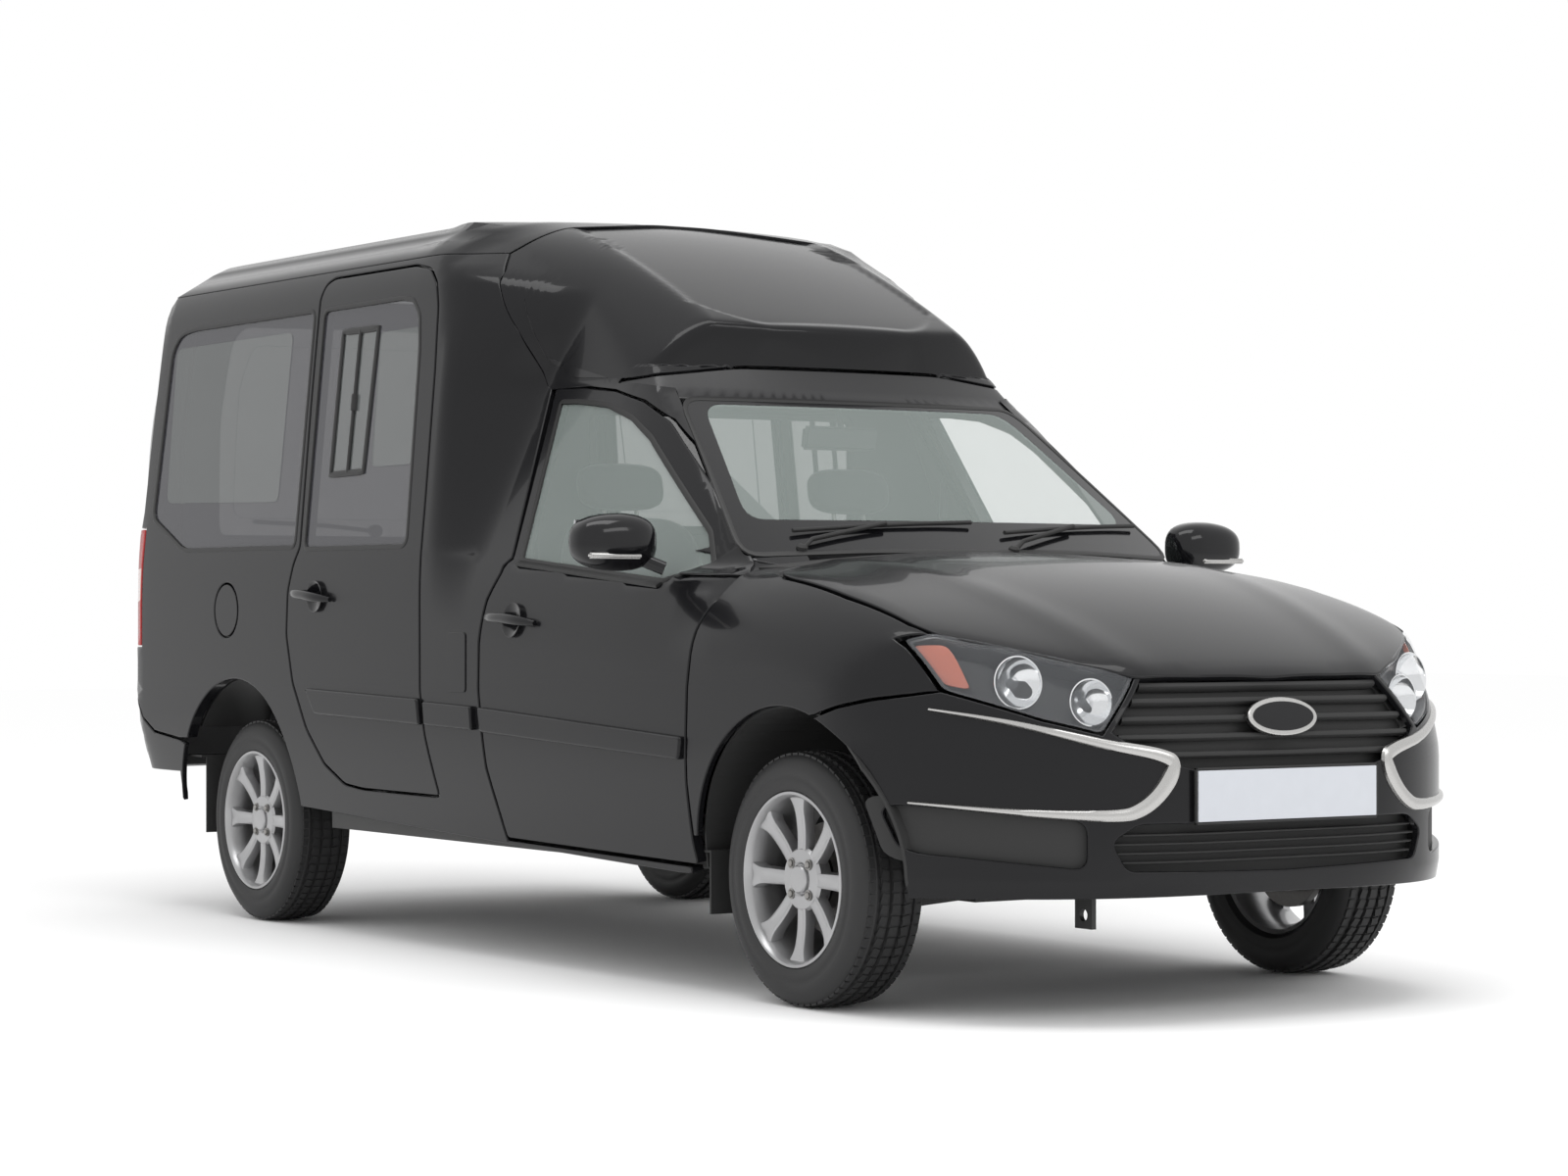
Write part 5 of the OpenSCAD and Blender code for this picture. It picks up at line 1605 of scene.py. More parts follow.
def quarter_windows():
    s = sizes()
    inset = FLANK.lifted(-0.004)
    window = rounded(QUARTER_WINDOW, 0.03)
    clear = rounded([(-1.915, 1.697), (-1.175, 1.700), (-1.175, 1.212), (-1.890, 1.225)], 0.03)
    shape = panel(Shape(), inset, grown(window, -0.002), 0.004, [clear], 0.04, 0.001, 0, 2)
    panel(shape, inset, clear, 0.004, (), 0.04, 0.0003, 1, 2)
    shape.both_sides().build("quarter_glass", ["tinted_glass", "half_tint", "inner_glass"], "body",
                             "tinted_glass",
                             replaces=["quarter_windows"])
    seal = band(Shape(), FLANK, split_edges(turned_left(window), 0.03), s.seal, 0.002, closed=True)
    seal.both_sides().build("quarter_seals", ["rubber_seal"], "body", "black_plastic")


def mirrors():
    """Door mirror: black cap, bright indicator strip and mirror glass."""
    shape = Shape()
    bm = bmesh.new()
    bmesh.ops.create_icosphere(bm, subdivisions=4, radius=1.0)
    for v in bm.verts:
        p = np.array(v.co)
        p = np.sign(p) * np.abs(p) ** 0.72
        fall = 1 - 0.12 * ramp(p[1])
        v.co = Vector((0.830 + 0.070 * p[0] * (1 if p[0] > 0 else 0.6), 0.915 + 0.112 * p[1],
                       1.068 + 0.070 * p[2] * fall))
    take(shape, bm, 0)
    tube(shape, [(0.885, 0.800, 1.004), (0.868, 0.830, 1.018), (0.845, 0.870, 1.042)], 0.017, 14)
    panel(shape, SIDE.lifted(0.004), rounded([(0.975, 1.064), (0.886, 0.990), (1.075, 0.985)], 0.015),
          0.004, (), 0.02, 0.002, 0)
    bm = bmesh.new()
    bmesh.ops.create_cube(bm, size=1.0)
    for v in bm.verts:
        v.co = Vector((0.888 + 0.022 * v.co.x, 0.940 + 0.140 * v.co.y, 1.034 + 0.014 * v.co.z))
    bmesh.ops.bevel(bm, geom=bm.edges[:], offset=0.004, segments=3, affect="EDGES")
    take(shape, bm, 1)
    bm = bmesh.new()
    bmesh.ops.create_cube(bm, size=1.0)
    for v in bm.verts:
        v.co = Vector((0.790 + 0.006 * v.co.x, 0.920 + 0.150 * v.co.y, 1.073 + 0.096 * v.co.z))
    bmesh.ops.bevel(bm, geom=bm.edges[:], offset=0.002, segments=2, affect="EDGES")
    take(shape, bm, 2)
    pair(shape, "mirror_shell", ["black_gloss", "chrome", "reflector"], "black_plastic", FRONT_DOORS,
         ("left_mirror", "right_mirror"))


def tailgate():
    s = sizes()
    outline = rounded(mirrored_half(TAIL_HALF), 0.02, 4)
    window = rounded(mirrored_half(TAIL_GLASS_HALF), 0.04)
    shape = panel(Shape(), TAIL, outline, 0.03, [window], s.cell, s.lip, 0, 1)
    shape.build("tailgate_panel", ["paint", "lining"], "tailgate", "paint", replaces=["tailgate"])
    inset = TAIL.lifted(-0.004)
    clear = rounded(mirrored_half([(0, 1.19), (0.50, 1.19), (0.49, 1.60), (0.455, 1.73), (0, 1.735)]), 0.04)
    glass_shape = panel(Shape(), inset, grown(window, -0.002), 0.004, [clear], 0.04, 0.001, 0, 2)
    panel(glass_shape, inset, clear, 0.004, (), 0.04, 0.0003, 1, 2)
    glass_shape.build("tailgate_glass", ["tinted_glass", "half_tint", "inner_glass"], "tailgate",
                      "tinted_glass",
                      replaces=["tailgate_window"])
    trim = band(Shape(), TAIL, split_edges(turned_left(window), 0.03), s.seal, 0.002, closed=True)
    box_shape(trim, (TAIL_X - 0.020, -0.30, 0.945), (TAIL_X + 0.002, 0.30, 0.985), 0, 0.006)
    tube(trim, [(TAIL_X - 0.012, 0.0, 1.155), (TAIL_X - 0.016, -0.16, 1.17), (TAIL_X - 0.014, -0.42, 1.18)],
         0.007, 8)
    turn(trim, [(0, -0.02), (0.02, -0.02), (0.02, 0.006), (0.012, 0.014), (0, 0.014)],
         (TAIL_X - 0.004, 0.0, 1.155), (-1, 0, 0), 24)
    trim.build("tailgate_trim", ["black_plastic"], "tailgate", "black_plastic")
    lamp = panel(Shape(), TAIL.lifted(0.003), rounded([(-0.15, 1.826), (0.15, 1.826), (0.15, 1.850),
                                                       (-0.15, 1.850)], 0.008, 3), 0.0035, (), 0.03, 0.002, 0)
    lamp.build("high_lamp", ["red_lens"], "tailgate", "red_lens")


def rear_uv(points):
    p = np.asarray(points, float)
    return np.stack([np.arctan2(p[:, 1], BUMPER_X0 - p[:, 0]), p[:, 2]], 1)


def behind(yz):
    """Places on the rear bumper, straight behind points drawn from the rear."""
    yz = np.asarray(yz, float)
    o = columns(BUMPER_X0, yz[:, 0], yz[:, 1])
    return rear_uv(reach_out(tail_field, o, columns(-1.0, 0.0, 0.0) + 0 * o, 0.1, 0.9))


def beside(xz):
    xz = np.asarray(xz, float)
    o = columns(xz[:, 0], 0.0, xz[:, 1])
    return rear_uv(reach_out(tail_field, o, columns(0.0, 1.0, 0.0) + 0 * o, 0.2, 1.0))


def rear_bumper():
    s = sizes()
    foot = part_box("rear_bumper")[0][2] + 0.006
    arch = curved_arch(REAR_ARCH, 150, 176)
    half = list(behind(split_open([(0, 0.694), (0.79, 0.694)], 0.03)))
    half += list(beside(split_open([(-2.06, 0.569), (-1.98, 0.531), (-1.80, 0.513)], 0.03)))
    half += list(beside(arch))
    side_end = half[-1][0]
    half += [(side_end, foot)]
    half += [(a, foot) for a in np.linspace(side_end - 0.03, 0, 30)]
    half = np.array(half)
    other = half[::-1] * [-1, 1]
    outline = tidy(np.vstack([half, other[1:-1]]))
    shape = Shape()
    panel(shape, REAR, outline, s.sheet, (), s.cell, s.lip, 0, 1)
    strip = behind(np.stack([np.linspace(-0.70, 0.70, 50), np.full(50, 0.655)], 1))
    band(shape, REAR, strip, 0.030, 0.004, 2)
    shape.build("rear_bumper_skin", ["paint", "lining", "black_plastic"], "body", "paint",
                replaces=["rear_bumper"])


def fuel_flap():
    ring = arc(FUEL, FUEL[2], 0, 350, 35)
    shape = panel(Shape(), FLANK, ring, 0.012, (), 0.02, 0.002, 0)
    Shape().join(shape, mirrored=True).build("fuel_flap_panel", ["paint"], "fuel_flap", "paint",
                                             replaces=["fuel_flap"])


# ---------------------------------------------------------------- wheels


RIM_R = 0.196
WHEELS = (("front_left", FRONT_AXLE, FRONT_TRACK / 2, 1), ("front_right", FRONT_AXLE, -FRONT_TRACK / 2, -1),
          ("rear_left", REAR_AXLE, REAR_TRACK / 2, 1), ("rear_right", REAR_AXLE, -REAR_TRACK / 2, -1))


def spokes(shape, count=8):
    """Flat-faced spokes that widen at the rim, hollowed a little along their middle."""
    radii = np.linspace(0.052, 0.186, 12)
    for k in range(count):
        a = 2 * math.pi * k / count
        rows = []
        for r in radii:
            t = (r - radii[0]) / (radii[-1] - radii[0])
            half = 0.0155 + 0.003 * t + 0.012 * above(t - 0.75) * 4 * above(t - 0.75) * 4
            face = 0.064 + 0.012 * t - 0.006 * math.sin(math.pi * t)
            back = 0.034 + 0.012 * t
            section = [(-half * 1.25, back), (-half * 1.12, face - 0.010), (-half, face - 0.002),
                       (-half * 0.72, face), (0.0, face - 0.003), (half * 0.72, face),
                       (half, face - 0.002), (half * 1.12, face - 0.010), (half * 1.25, back)]
            c, s = math.cos(a), math.sin(a)
            rows += [(r * c - w * s, d, r * s + w * c) for w, d in section]
        n = 9
        faces = []
        for i in range(len(radii) - 1):
            for j in range(n):
                q = (j + 1) % n
                faces.append([i * n + j, i * n + q, (i + 1) * n + q, (i + 1) * n + j])
        faces.append(list(range(n)))
        faces.append([(len(radii) - 1) * n + j for j in range(n)][::-1])
        shape.join(merged(Shape().add(rows, faces)))


def rim_shape():
    shape = Shape()
    out = (0, 1, 0)
    turn(shape, [(RIM_R + 0.006, 0.084), (RIM_R + 0.004, 0.089), (RIM_R - 0.002, 0.090),
                 (RIM_R - 0.007, 0.084),
                 (RIM_R - 0.010, 0.074), (RIM_R - 0.022, 0.040), (RIM_R - 0.024, -0.05),
                 (RIM_R - 0.014, -0.074),
                 (RIM_R - 0.004, -0.078), (RIM_R - 0.002, -0.074), (RIM_R - 0.010, -0.06),
                 (RIM_R - 0.016, -0.04), (RIM_R - 0.014, 0.04), (RIM_R - 0.004, 0.07)], (0, 0, 0), out, 96)
    turn(shape, [(0.0, 0.028), (0.074, 0.028), (0.074, 0.056), (0.068, 0.063), (0.040, 0.066), (0.034, 0.062),
                 (0.0, 0.062)], (0, 0, 0), out, 64)
    spokes(shape)
    turn(shape, [(0.0, 0.058), (0.032, 0.058), (0.032, 0.069), (0.029, 0.0725),
         (0.0, 0.0745)], (0, 0, 0), out,
         48, 0)
    for k in range(4):
        a = math.pi / 4 + k * math.pi / 2
        at = (0.049 * math.cos(a), 0.0, 0.049 * math.sin(a))
        turn(shape, [(0.0095, 0.0655), (0.0125, 0.0655), (0.0125, 0.0675), (0.0095, 0.0675)], at, out, 20, 1)
        turn(shape, [(0.0, 0.060), (0.0085, 0.060), (0.0085, 0.070), (0.006, 0.073), (0.0, 0.073)], at, out,
             6, 1)
    return shape


def disc_shape():
    shape = Shape()
    turn(shape, [(0.0, 0.018), (0.070, 0.018), (0.070, -0.010), (0.128, -0.010), (0.128, -0.032),
                 (0.060, -0.032), (0.0, -0.020)], (0, 0, 0), (0, 1, 0), 64)
    return shape


def tyre_profile():
    """Half section of the tyre as (radius, along), shoulder grooves and sidewall steps included."""
    half = [(RIM_R + 0.002, 0.080), (RIM_R + 0.008, 0.0885), (RIM_R + 0.020, 0.0915), (RIM_R + 0.032, 0.0925),
            (RIM_R + 0.034, 0.0915), (RIM_R + 0.046, 0.0915), (RIM_R + 0.048, 0.0922),
            (TYRE_R - 0.034, 0.0895),
            (TYRE_R - 0.020, 0.083), (TYRE_R - 0.011, 0.075), (TYRE_R - 0.007, 0.066)]
    depth = sizes().tread
    grooves = []
    for centre in (0.046, 0.017):
        grooves += [(TYRE_R - depth * 0.4, centre + 0.006), (TYRE_R - depth - 0.001, centre + 0.004),
                    (TYRE_R - depth - 0.001, centre - 0.004), (TYRE_R - depth * 0.4, centre - 0.006)]
    return half + grooves


def tyre_shape():
    half = tyre_profile()
    full = half + [(r, -z) for r, z in reversed(half)]
    full += [(RIM_R - 0.002, -0.074), (RIM_R - 0.002, 0.074)]
    return turn(Shape(), full, (0, 0, 0), (0, 1, 0), 120)


def tread_tree():
    """Geometry nodes that set one block round the tyre as often as asked."""
    tree = bpy.data.node_groups.get("tread_rows")
    if tree:
        return tree
    tree = bpy.data.node_groups.new("tread_rows", "GeometryNodeTree")
    face = tree.interface
    face.new_socket("Geometry", in_out="INPUT", socket_type="NodeSocketGeometry")
    count = face.new_socket("Blocks", in_out="INPUT", socket_type="NodeSocketInt")
    count.default_value = 70
    radius = face.new_socket("Radius", in_out="INPUT", socket_type="NodeSocketFloat")
    radius.default_value = 0.29
    face.new_socket("Block size", in_out="INPUT", socket_type="NodeSocketVector")
    face.new_socket("Row place", in_out="INPUT", socket_type="NodeSocketFloat")
    face.new_socket("Skew", in_out="INPUT", socket_type="NodeSocketFloat")
    face.new_socket("Material", in_out="INPUT", socket_type="NodeSocketMaterial")
    face.new_socket("Geometry", in_out="OUTPUT", socket_type="NodeSocketGeometry")
    nodes, links = tree.nodes, tree.links
    given = nodes.new("NodeGroupInput")
    ring = nodes.new("GeometryNodeMeshCircle")
    ring.inputs["Vertices"].default_value = 70
    links.new(given.outputs["Blocks"], ring.inputs["Vertices"])
    links.new(given.outputs["Radius"], ring.inputs["Radius"])
    block = nodes.new("GeometryNodeMeshCube")
    links.new(given.outputs["Block size"], block.inputs["Size"])
    lean = nodes.new("GeometryNodeTransform")
    turn_by = nodes.new("ShaderNodeCombineXYZ")
    links.new(given.outputs["Skew"], turn_by.inputs["X"])
    links.new(turn_by.outputs["Vector"], lean.inputs["Rotation"])
    links.new(block.outputs["Mesh"], lean.inputs["Geometry"])
    place = nodes.new("GeometryNodeInstanceOnPoints")
    links.new(ring.outputs["Mesh"], place.inputs["Points"])
    links.new(lean.outputs["Geometry"], place.inputs["Instance"])
    spot = nodes.new("GeometryNodeInputPosition")
    align = nodes.new("FunctionNodeAlignRotationToVector")
    align.axis = "X"
    align.pivot_axis = "Z"
    links.new(spot.outputs["Position"], align.inputs["Vector"])
    links.new(align.outputs["Rotation"], place.inputs["Rotation"])
    real = nodes.new("GeometryNodeRealizeInstances")
    links.new(place.outputs["Instances"], real.inputs["Geometry"])
    stand = nodes.new("GeometryNodeTransform")
    stand.inputs["Rotation"].default_value = (math.pi / 2, 0, 0)
    shift = nodes.new("ShaderNodeCombineXYZ")
    links.new(given.outputs["Row place"], shift.inputs["Y"])
    links.new(shift.outputs["Vector"], stand.inputs["Translation"])
    links.new(real.outputs["Geometry"], stand.inputs["Geometry"])
    paint_it = nodes.new("GeometryNodeSetMaterial")
    links.new(stand.outputs["Geometry"], paint_it.inputs["Geometry"])
    links.new(given.outputs["Material"], paint_it.inputs["Material"])
    give = nodes.new("NodeGroupOutput")
    links.new(paint_it.outputs["Geometry"], give.inputs["Geometry"])
    return tree


def tread_blocks():
    """All rows of tread blocks round a wheel at the origin, as a shape."""
    s = sizes()
    tree = tread_tree()
    ids = {item.name: item.identifier for item in tree.interface.items_tree if item.in_out == "INPUT"}
    shape = Shape()
    depth = s.tread
    for row, width, skew in ((0.0, 0.021, 0.0), (0.0315, 0.019, 0.25), (-0.0315, 0.019, -0.25),
                             (0.0605, 0.020, 0.0), (-0.0605, 0.020, 0.0)):
        low = depth * 0.7 if abs(row) > 0.05 else depth
        obj = bpy.data.objects.new("tread_row", bpy.data.meshes.new("tread_row"))
        bpy.context.scene.collection.objects.link(obj)
        mod = obj.modifiers.new("rows", "NODES")
        mod.node_group = tree
        high = TYRE_R - 0.0004 - (0.0035 if abs(row) > 0.05 else 0.0)
        mod[ids["Blocks"]] = s.lugs
        mod[ids["Radius"]] = high - low / 2 - 0.001
        mod[ids["Block size"]] = (low + 0.002, 2 * math.pi * TYRE_R / s.lugs * 0.78, width)
        mod[ids["Row place"]] = row
        mod[ids["Skew"]] = skew
        mod[ids["Material"]] = MATERIALS["tyre_rubber"]()
        bpy.context.view_layer.update()
        made = obj.evaluated_get(bpy.context.evaluated_depsgraph_get())
        mesh = bpy.data.meshes.new_from_object(made)
        if not mesh.polygons:
            raise RuntimeError("the tread row came out empty")
        shape.add([tuple(v.co) for v in mesh.vertices], [list(p.vertices) for p in mesh.polygons])
        obj.modifiers.clear()
        bpy.data.objects.remove(obj)
        bpy.data.meshes.remove(mesh)
    return shape


def placed(shape, x, y, z, side):
    out = Shape().join(shape, mirrored=side < 0)
    for k in range(len(out.v)):
        out.v[k] = out.v[k] + [x, y, z]
    return out


def wheels():
    rim, tyre, disc, blocks = rim_shape(), tyre_shape(), disc_shape(), tread_blocks()
    for name, x, y, side in WHEELS:
        body = f"{name}_wheel"
        placed(rim, x, y, AXLE_Z, side).build(f"{name}_alloy", ["alloy", "steel"], body, "alloy", 32,
                                              replaces=[f"{name}_rim"])
        placed(tyre, x, y, AXLE_Z, side).build(f"{name}_tyre_carcass", ["tyre_rubber"], body, "tyre", 40,
                                               replaces=[f"{name}_tyre"])
        placed(blocks, x, y, AXLE_Z, side).build(f"{name}_tread", ["tyre_rubber"], body, "tyre", 30)
        placed(disc, x, y, AXLE_Z, side).build(f"{name}_brake_disc", ["rotor"], body, "cast_metal", 30)
    for side, body in ((1, "left_knuckle"), (-1, "right_knuckle")):
        caliper = Shape()
        box_shape(caliper, (-0.150, -0.050, -0.05), (-0.085, 0.006, 0.05), 0, 0.012)
        placed(caliper, FRONT_AXLE, side * FRONT_TRACK / 2, AXLE_Z, side).build(
            f"{body}_caliper", ["cast"], body, "cast_metal")


# ---------------------------------------------------------------- inside the cab


def soft_block(centre, half, power, shear=0.0, steps=5):
    """Closed pillow shape; shear leans its top back."""
    bm = bmesh.new()
    bmesh.ops.create_cube(bm, size=2.0)
    bmesh.ops.subdivide_edges(bm, edges=bm.edges[:], cuts=2 ** steps // 2 - 1, use_grid_fill=True)
    for v in bm.verts:
        p = np.array(v.co)
        r = (np.abs(p) ** power).sum() ** (1 / power)
        p = p / r * np.abs(p).max()
        q = p * half
        v.co = Vector((centre[0] + q[0] - shear * q[2], centre[1] + q[1], centre[2] + q[2]))
    bmesh.ops.recalc_face_normals(bm, faces=bm.faces)
    return bm


# Padding: voxel in metres, cloth pressure, frames simulated
PAD_VOXEL = 0.012
PAD_PRESSURE = 4.0
PAD_FRAMES = 12


def pillow(name, bm, cap):
    """Padded piece: inflated a little with cloth pressure, then smoothed."""
    mesh = bpy.data.meshes.new(name)
    bm.to_mesh(mesh)
    bm.free()
    obj = bpy.data.objects.new(name, mesh)
    scene = bpy.context.scene
    scene.collection.objects.link(obj)
    remesh = obj.modifiers.new("even", "REMESH")
    remesh.mode = "VOXEL"
    remesh.voxel_size = PAD_VOXEL
    take_mesh(obj)
    start = np.empty(len(obj.data.vertices) * 3)
    obj.data.vertices.foreach_get("co", start)
    cloth_mod = obj.modifiers.new("press", "CLOTH")
    settings = cloth_mod.settings
    settings.use_pressure = True
    settings.uniform_pressure_force = PAD_PRESSURE
    settings.quality = 5
    settings.effector_weights.gravity = 0.0
    for step in range(1, PAD_FRAMES + 1):
        scene.frame_set(step)
    made = obj.evaluated_get(bpy.context.evaluated_depsgraph_get())
    moved = np.empty(len(made.data.vertices) * 3)
    made.data.vertices.foreach_get("co", moved)
    obj.modifiers.clear()
    scene.frame_set(1)
    way = (moved - start).reshape(-1, 3)
    far = np.linalg.norm(way, axis=1)
    way *= np.minimum(1.0, cap / np.maximum(far, 1e-9))[:, None]
    obj.data.vertices.foreach_set("co", (start.reshape(-1, 3) + way).ravel())
    obj.data.update()
    return obj


def take_mesh(obj):
    made = obj.evaluated_get(bpy.context.evaluated_depsgraph_get())
    mesh = bpy.data.meshes.new_from_object(made)
    obj.modifiers.clear()
    obj.data = mesh


def seats():
    """Two seats, each of a cushion, a back and a headrest."""
    parts = [("cushion", soft_block((0.285, 0.37, 0.625), (0.225, 0.225, 0.065), 4.5), 0.010),
             ("back", soft_block((0.045, 0.37, 0.925), (0.058, 0.218, 0.235), 4.0, 0.18), 0.010),
             ("headrest", soft_block((-0.035, 0.37, 1.232), (0.045, 0.125, 0.062), 3.6, 0.15), 0.006)]
    for part, bm, cap in parts:
        left = pillow(f"left_{part}", bm, cap)
        mesh = left.data.copy()
        at = np.empty(len(mesh.vertices) * 3)
        mesh.vertices.foreach_get("co", at)
        mesh.vertices.foreach_set("co", (at.reshape(-1, 3) * [1, -1, 1]).ravel())
        mesh.flip_normals()
        right = bpy.data.objects.new(f"right_{part}", mesh)
        bpy.context.scene.collection.objects.link(right)
        for obj, side in ((left, "left"), (right, "right")):
            obj.data.materials.clear()
            obj.data.materials.append(MATERIALS["cloth"]())
            obj.data.polygons.foreach_set("use_smooth", [True] * len(obj.data.polygons))
            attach(obj, "body")
            if part == "cushion":
                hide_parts(f"{side}_seat")
    frames = Shape()
    for y in (0.32, 0.42):
        tube(frames, [(-0.03, y, 1.13), (-0.036, y, 1.19)], 0.006, 10, 0)
    box_shape(frames, (0.09, 0.17, 0.36), (0.47, 0.20, 0.56), 1, 0.01)
    box_shape(frames, (0.09, 0.54, 0.36), (0.47, 0.57, 0.56), 1, 0.01)
    frames.both_sides().build("seat_frames", ["steel", "trim_dark"], "body", "interior")


def cabin():
    """Glass in the partition with its seal, belts and cabin mirror."""
    shape = Shape()
    box_shape(shape, (-0.112, -0.43, 1.11), (-0.108, 0.43, 1.45), 0, 0.001)
    shape.build("partition_glass", ["inner_glass"], "body", "clear_glass")
    seal = Shape()
    ring = rounded([(-0.42, 1.12), (0.42, 1.12), (0.42, 1.44), (-0.42, 1.44)], 0.04)
    flat = Surface(lambda uv: columns(-0.094, uv[:, 0], uv[:, 1]), toward(1, 0, 0))
    band(seal, flat, split_edges(turned_left(ring), 0.03), 0.024, 0.006, closed=True)
    tube(seal, [(0.455, 0.0, 1.425), (0.470, 0.0, 1.375)], 0.008, 10)
    bm = bmesh.new()
    bmesh.ops.create_cube(bm, size=1.0)
    for v in bm.verts:
        v.co = Vector((0.462 + 0.026 * v.co.x + 0.012 * v.co.z, 0.230 * v.co.y, 1.352 + 0.062 * v.co.z))
    bmesh.ops.bevel(bm, geom=bm.edges[:], offset=0.008, segments=3, affect="EDGES")
    take(seal, bm)
    seal.build("cabin_trim", ["trim_dark"], "body", "interior")
    belts = Shape()
    for y in (0.66, -0.66):
        tube(belts, [(0.02, y, 1.27), (0.018, y * 0.985, 1.0), (0.03, y * 0.97, 0.6), (0.05, y * 0.96, 0.42)],
             0.012, 6)
    belts.build("seat_belts", ["cloth"], "body", "cloth")


def grained_nodes():
    """Finishes for the CAD pieces that stay in view."""
    finishes = {"floor_pan": "underbody", "tow_eyes": "underbody", "partition": "trim_dark",
                "deck": "deck_metal", "engine": "cast", "front_subframe": "underbody",
                "left_knuckle": "cast", "right_knuckle": "cast", "rear_axle": "underbody", "exhaust": "steel",
                "fuel_tank": "black_plastic", "wheel_arch_liners": "black_plastic", "dashboard": "trim_dark",
                "steering_wheel": "trim_dark"}
    for node, name in finishes.items():
        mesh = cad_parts[node].data
        if not mesh.materials:
            mesh.materials.append(None)
        for k in range(len(mesh.materials)):
            mesh.materials[k] = MATERIALS[name]()


# ---------------------------------------------------------------- camera, floor and light


def stage():
    scene = bpy.context.scene
    data = bpy.data.cameras.new("camera")
    data.lens = 85.17
    data.sensor_width = 36.0
    camera = bpy.data.objects.new("camera", data)
    scene.collection.objects.link(camera)
    camera.location = (8.461, -5.486, 0.914)
    camera.rotation_euler = Vector((-0.8331, 0.5532, 0.0049)).to_track_quat("-Z", "Y").to_euler()
    scene.camera = camera
    scene.view_settings.view_transform = "Standard"
    bm = bmesh.new()
    bmesh.ops.create_grid(bm, x_segments=1, y_segments=1, size=30.0)
    mesh = bpy.data.meshes.new("floor")
    bm.to_mesh(mesh)
    bm.free()
    floor = bpy.data.objects.new("floor", mesh)
    floor.location.z = -0.0005
    scene.collection.objects.link(floor)
    mesh.materials.append(finish("studio_floor", (0.99, 0.99, 0.99), 0.8, 0.0, 3.0, 0.0, 0.03, specular=0.0))
    world = bpy.data.worlds.new("studio")
    scene.world = world
    world.use_nodes = True
    nodes, links = world.node_tree.nodes, world.node_tree.links
    nodes.clear()
    white = nodes.new("ShaderNodeBackground")
    white.inputs["Color"].default_value = (1, 1, 1, 1)
    white.inputs["Strength"].default_value = 1.0
    give = nodes.new("ShaderNodeOutputWorld")
    links.new(white.outputs["Background"], give.inputs["Surface"])
    for name, at_point, size, power in (("key", (1.5, -1.0, 6.5), 6.0, 160.0),
                                        ("front", (7.5, 1.5, 4.5), 4.0, 60.0)):
        light = bpy.data.lights.new(name, "AREA")
        light.shape = "RECTANGLE"
        light.size = size
        light.size_y = size * 0.4
        light.energy = power
        lamp = bpy.data.objects.new(name, light)
        lamp.location = at_point
        lamp.rotation_euler = (Vector((0.3, 0, 0.8)) - Vector(at_point)).to_track_quat("-Z", "Y").to_euler()
        scene.collection.objects.link(lamp)


# ---------------------------------------------------------------- operators and panel


class HearseOperator:
    """Shared by every operator: runs its pieces in order."""
    bl_options = {"REGISTER", "UNDO"}
    work = ()

    def execute(self, context):
        for build in self.work:
            build()
        return {"FINISHED"}


class HEARSE_OT_stage(HearseOperator, bpy.types.Operator):
    """Camera, pale floor and soft light"""
    bl_idname = "hearse.stage"
    bl_label = "Stage"
    work = (stage,)


class HEARSE_OT_body(HearseOperator, bpy.types.Operator):
    """Sides, roof, cap, pillars, wings and bonnet"""
    bl_idname = "hearse.body"
    bl_label = "Body"
    work = (body_sides, roof_and_cap, a_pillars, wings, bonnet, cowl_and_wipers)


class HEARSE_OT_ends(HearseOperator, bpy.types.Operator):
    """Bumpers, grille, bright trim and plates"""
    bl_idname = "hearse.ends"
    bl_label = "Bumpers and grille"
    work = (front_bumper, grille, rear_bumper, plates)


class HEARSE_OT_doors(HearseOperator, bpy.types.Operator):
    """Doors, tailgate, flap, mirrors and their glass"""
    bl_idname = "hearse.doors"
    bl_label = "Doors and tailgate"
    work = (front_doors, side_doors, tailgate, fuel_flap, mirrors, centre_moulding)


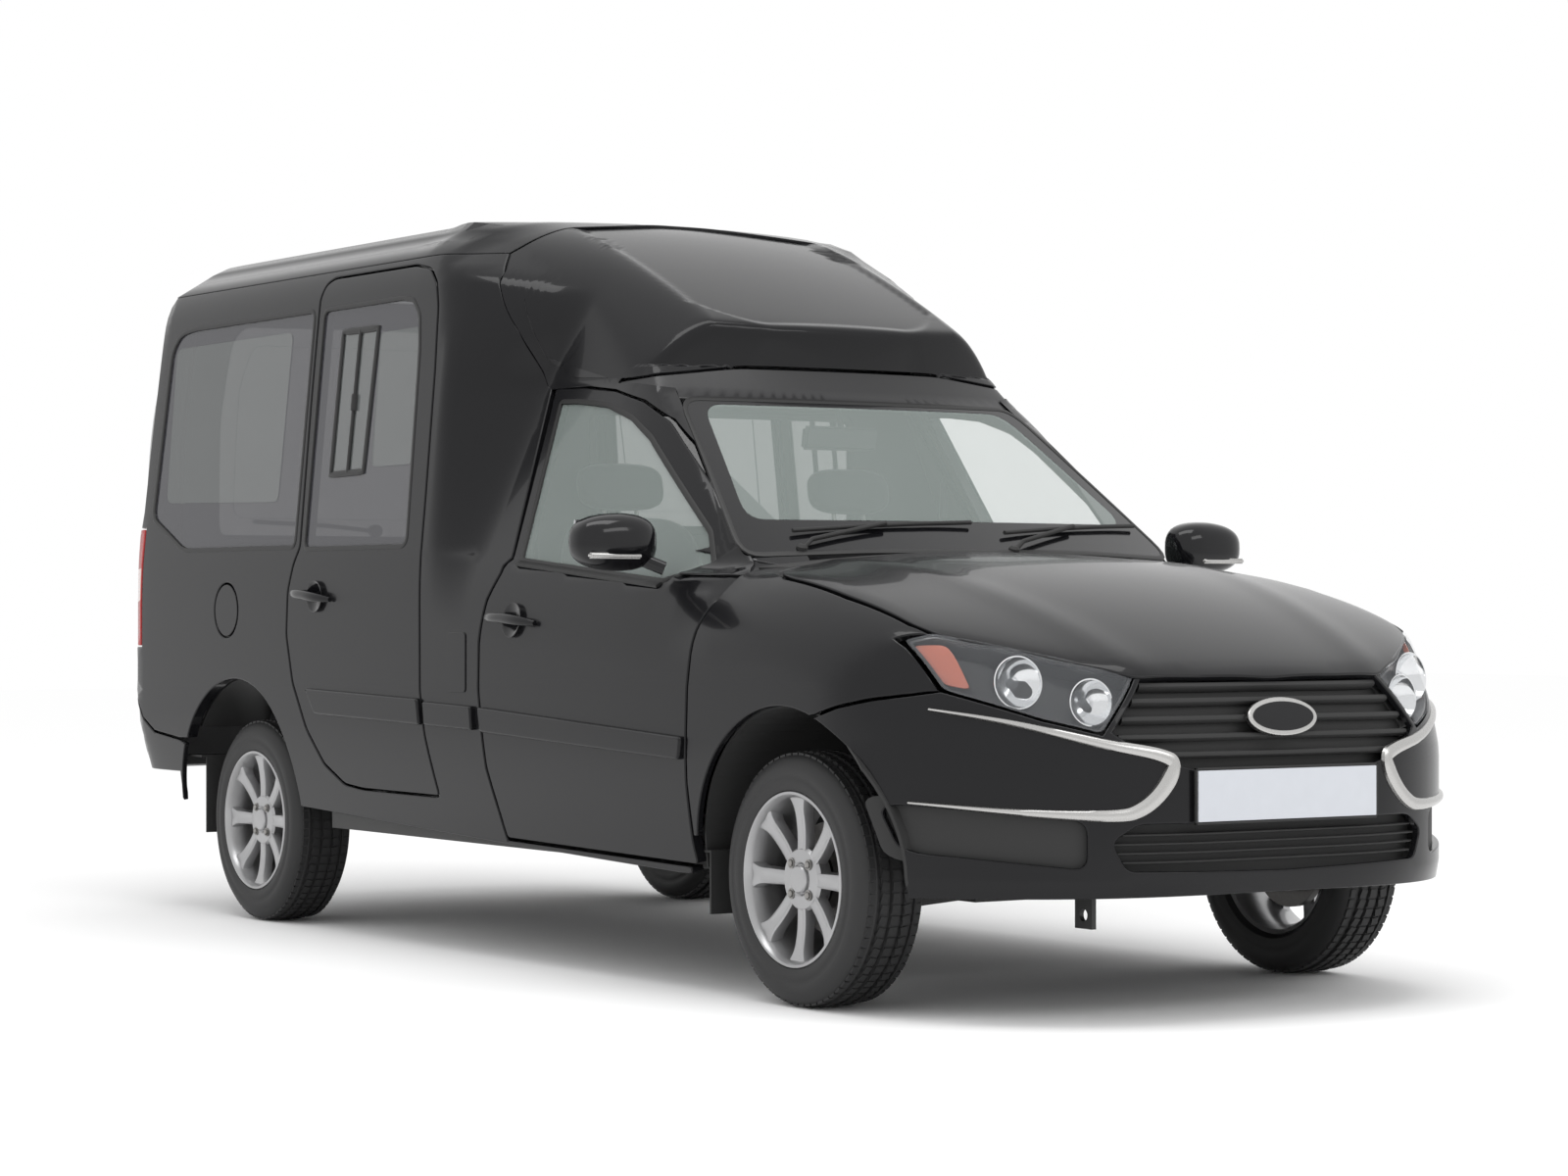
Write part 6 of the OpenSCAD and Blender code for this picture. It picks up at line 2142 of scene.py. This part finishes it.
class HEARSE_OT_glass(HearseOperator, bpy.types.Operator):
    """Windscreen and fixed side glass"""
    bl_idname = "hearse.glass"
    bl_label = "Fixed glass"
    work = (windscreen, quarter_windows)


class HEARSE_OT_lamps(HearseOperator, bpy.types.Operator):
    """Headlamps and rear lamps"""
    bl_idname = "hearse.lamps"
    bl_label = "Lamps"
    work = (headlamps, tail_lamps)


class HEARSE_OT_wheels(HearseOperator, bpy.types.Operator):
    """Rims, tyres with tread, brakes"""
    bl_idname = "hearse.wheels"
    bl_label = "Wheels"
    work = (wheels,)


class HEARSE_OT_inside(HearseOperator, bpy.types.Operator):
    """Seats, cabin trim and finishes of the CAD pieces"""
    bl_idname = "hearse.inside"
    bl_label = "Inside"
    work = (seats, cabin, grained_nodes)


OPERATORS = (HEARSE_OT_stage, HEARSE_OT_body, HEARSE_OT_ends, HEARSE_OT_doors, HEARSE_OT_glass,
             HEARSE_OT_lamps, HEARSE_OT_wheels, HEARSE_OT_inside)


class HEARSE_PT_panel(bpy.types.Panel):
    """Sizes, colours and one button for each group of pieces"""
    bl_label = "Hearse"
    bl_idname = "HEARSE_PT_panel"
    bl_space_type = "VIEW_3D"
    bl_region_type = "UI"
    bl_category = "Hearse"

    def draw(self, context):
        for group in (context.scene.hearse_sizes, context.scene.hearse_colours):
            for key in group.__annotations__:
                self.layout.prop(group, key)
        for operator in OPERATORS:
            self.layout.operator(operator.bl_idname)


CLASSES = (HearseSizes, HearseColours) + OPERATORS + (HEARSE_PT_panel,)


def register():
    for item in CLASSES:
        bpy.utils.register_class(item)
    bpy.types.Scene.hearse_sizes = PointerProperty(type=HearseSizes)
    bpy.types.Scene.hearse_colours = PointerProperty(type=HearseColours)


def unregister():
    del bpy.types.Scene.hearse_colours
    del bpy.types.Scene.hearse_sizes
    for item in reversed(CLASSES):
        bpy.utils.unregister_class(item)


def main():
    register()
    for operator in OPERATORS:
        group, name = operator.bl_idname.split(".")
        result = getattr(getattr(bpy.ops, group), name)()
        if result != {"FINISHED"}:
            raise RuntimeError(f"{operator.bl_idname} didn't finish")


if __name__ == "__main__":
    main()
